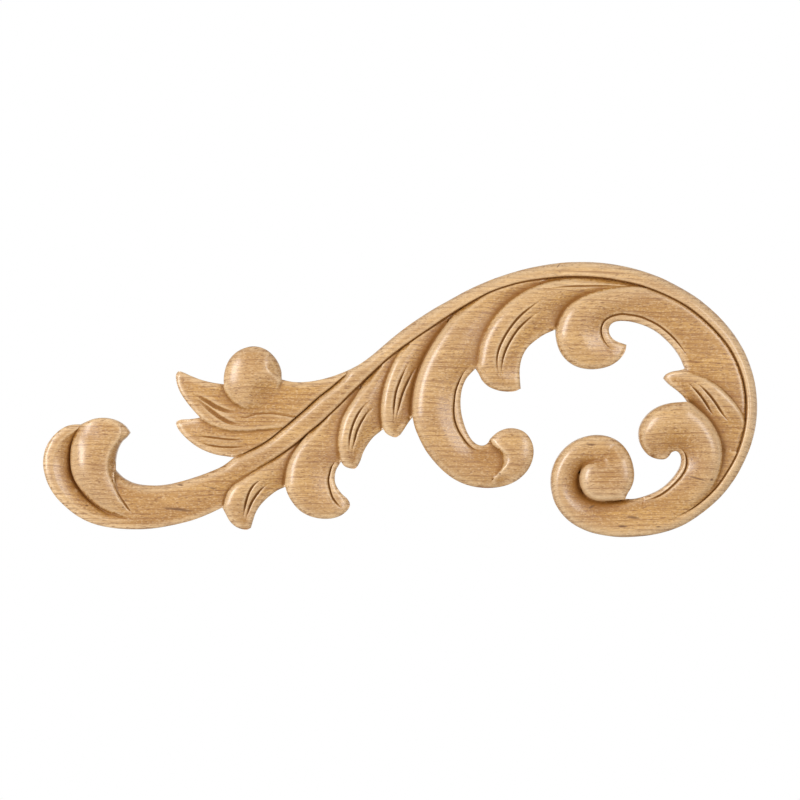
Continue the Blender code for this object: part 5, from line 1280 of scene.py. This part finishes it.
# Each kind of cut is sunk in turn, and the result becomes the piece's own mesh.
for kind in dict.fromkeys(kind for _, kind in cuts):
    cut_mesh = bpy.data.meshes.new("cut_lines")
    line_points, line_edges, fullness = [], [], []
    for line, other in cuts:
        if other != kind:
            continue
        share = np.linspace(0, 1, len(line))
        start = len(line_points)
        line_points += [(x * MM, 0, z * MM) for x, z in line]
        line_edges += [(start + i, start + i + 1) for i in range(len(line) - 1)]
        fullness += ease(np.minimum(share, 1 - share) / kind[2]).tolist()
    cut_mesh.from_pydata(line_points, line_edges, [])
    cut_mesh.attributes.new("fullness", "FLOAT", "POINT").data.foreach_set("value", fullness)
    cut_lines = bpy.data.objects.new("cut_lines", cut_mesh)
    bpy.context.scene.collection.objects.link(cut_lines)
    modifier = applique.modifiers.new("sink_cuts", "NODES")
    modifier.node_group = sinking
    values = {"Lines": cut_lines, "Width": kind[0] * MM, "Depth": kind[1] * MM, "Wood": wood}
    for item in sinking.interface.items_tree:
        if item.in_out == "INPUT" and item.name in values:
            modifier[item.identifier] = values[item.name]
    carved = bpy.data.meshes.new_from_object(applique.evaluated_get(bpy.context.evaluated_depsgraph_get()))
    applique.modifiers.remove(modifier)
    bpy.data.objects.remove(cut_lines, do_unlink=True)
    applique.data = carved

# How far each point lies below the wood around it, from 0 on an edge through 0.5 on a flat to 1 in a deep cut.
points = np.empty(3 * len(carved.vertices))
carved.vertices.foreach_get("co", points)
level = -points.reshape(-1, 3)[:, 1] / MM
ends = np.empty(2 * len(carved.edges), np.int32)
carved.edges.foreach_get("vertices", ends)
ends = ends.reshape(-1, 2)
ends = ends[(level[ends] > 0.5).all(axis=1)]
number = np.bincount(ends.ravel(), minlength=len(level)) + 1e-9
around = level.copy()
smoothed = {}
for turn in range(241):
    if turn in (4, 12, 60, 240):
        smoothed[turn] = around - level
    total = np.bincount(ends[:, 0], around[ends[:, 1]], len(level))
    total += np.bincount(ends[:, 1], around[ends[:, 0]], len(level))
    around = 0.5 * around + 0.5 * total / number
from_outline = nearest(points.reshape(-1, 3)[:, [0, 2]] / MM, closed_outline)[0]
inner = ease((from_outline - 0.3) / 1.0)
# The recess level drives the painted shade in hollows and the painted highlight on raised edges.
recess_level = 0.5 + (0.55 * smoothed[4] + 0.35 * smoothed[12] + 0.18 * np.maximum(smoothed[60], 0)) * inner
lowness_level = 0.5 + 0.18 * np.maximum(smoothed[240], 0) + 0.11 * np.minimum(smoothed[240], 0)
# Along the outline the level is lowered, so that the outer edge is painted paler, a painted reflection of the white
# room.
lowness_level -= 0.45 * (1 - ease(from_outline / 3.0))
for name, values in (("recess", recess_level), ("lowness", lowness_level)):
    carved.attributes.new(name, "FLOAT", "POINT").data.foreach_set("value", np.clip(values, 0, 1))

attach(applique, "root")
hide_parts(NODE)

# The surroundings: a plain pale floor under the piece, white all round, and two tall soft lamps,
# one to each side of the camera, the left one stronger.
FLOOR_DROP = 0.27
floor_mesh = bpy.data.meshes.new("floor")
floor_mesh.from_pydata(
    [(-1.1, -1.0, -FLOOR_DROP), (1.1, -1.0, -FLOOR_DROP), (1.1, 0.7, -FLOOR_DROP), (-1.1, 0.7, -FLOOR_DROP)],
    [], [(0, 1, 2, 3)])
floor = bpy.data.objects.new("floor", floor_mesh)
bpy.context.scene.collection.objects.link(floor)
pale = bpy.data.materials.new("pale_floor")
pale.use_nodes = True
pale.node_tree.nodes["Principled BSDF"].inputs["Base Color"].default_value = (0.86, 0.86, 0.85, 1)
pale.node_tree.nodes["Principled BSDF"].inputs["Roughness"].default_value = 0.9
floor_mesh.materials.append(pale)

world = bpy.data.worlds.new("white_room")
world.use_nodes = True
room = world.node_tree
background = room.nodes["Background"]
background.inputs["Color"].default_value = (1, 1, 1, 1)
AROUND = 0.44
lit = Socket.add(room, "ShaderNodeLightPath", {}, {}, "Is Diffuse Ray")
room.links.new((1 - (1 - AROUND) * lit).out, background.inputs["Strength"])
bpy.context.scene.world = world


LAMP_HEIGHT = 0.36


def lamp(name, angle, power, width, height):
    """A tall soft lamp to one side of the camera, turned to the piece."""
    data = bpy.data.lights.new(name, "AREA")
    data.shape = "RECTANGLE"
    data.size, data.size_y = width, height
    data.energy = power
    made = bpy.data.objects.new(name, data)
    made.location = (1.5 * np.sin(angle), -1.5 * np.cos(angle), LAMP_HEIGHT)
    made.rotation_euler = (Vector((0, 0, 0)) - made.location).to_track_quat("-Z", "Y").to_euler()
    bpy.context.scene.collection.objects.link(made)


lamp("left_lamp", np.radians(-40), 17.0, 0.50, 0.9)
lamp("right_lamp", np.radians(38), 9.0, 0.50, 0.9)

# The camera looks straight at the face from well back, framed as the photograph is.
camera_data = bpy.data.cameras.new("camera")
camera_data.sensor_width = 36
camera_data.lens = 266.9
camera = bpy.data.objects.new("camera", camera_data)
camera.location = (-0.00015, -2.5, -0.0002)
camera.rotation_euler = (np.pi / 2, 0, 0)
bpy.context.scene.collection.objects.link(camera)
bpy.context.scene.camera = camera

bpy.context.scene.view_settings.view_transform = "Standard"
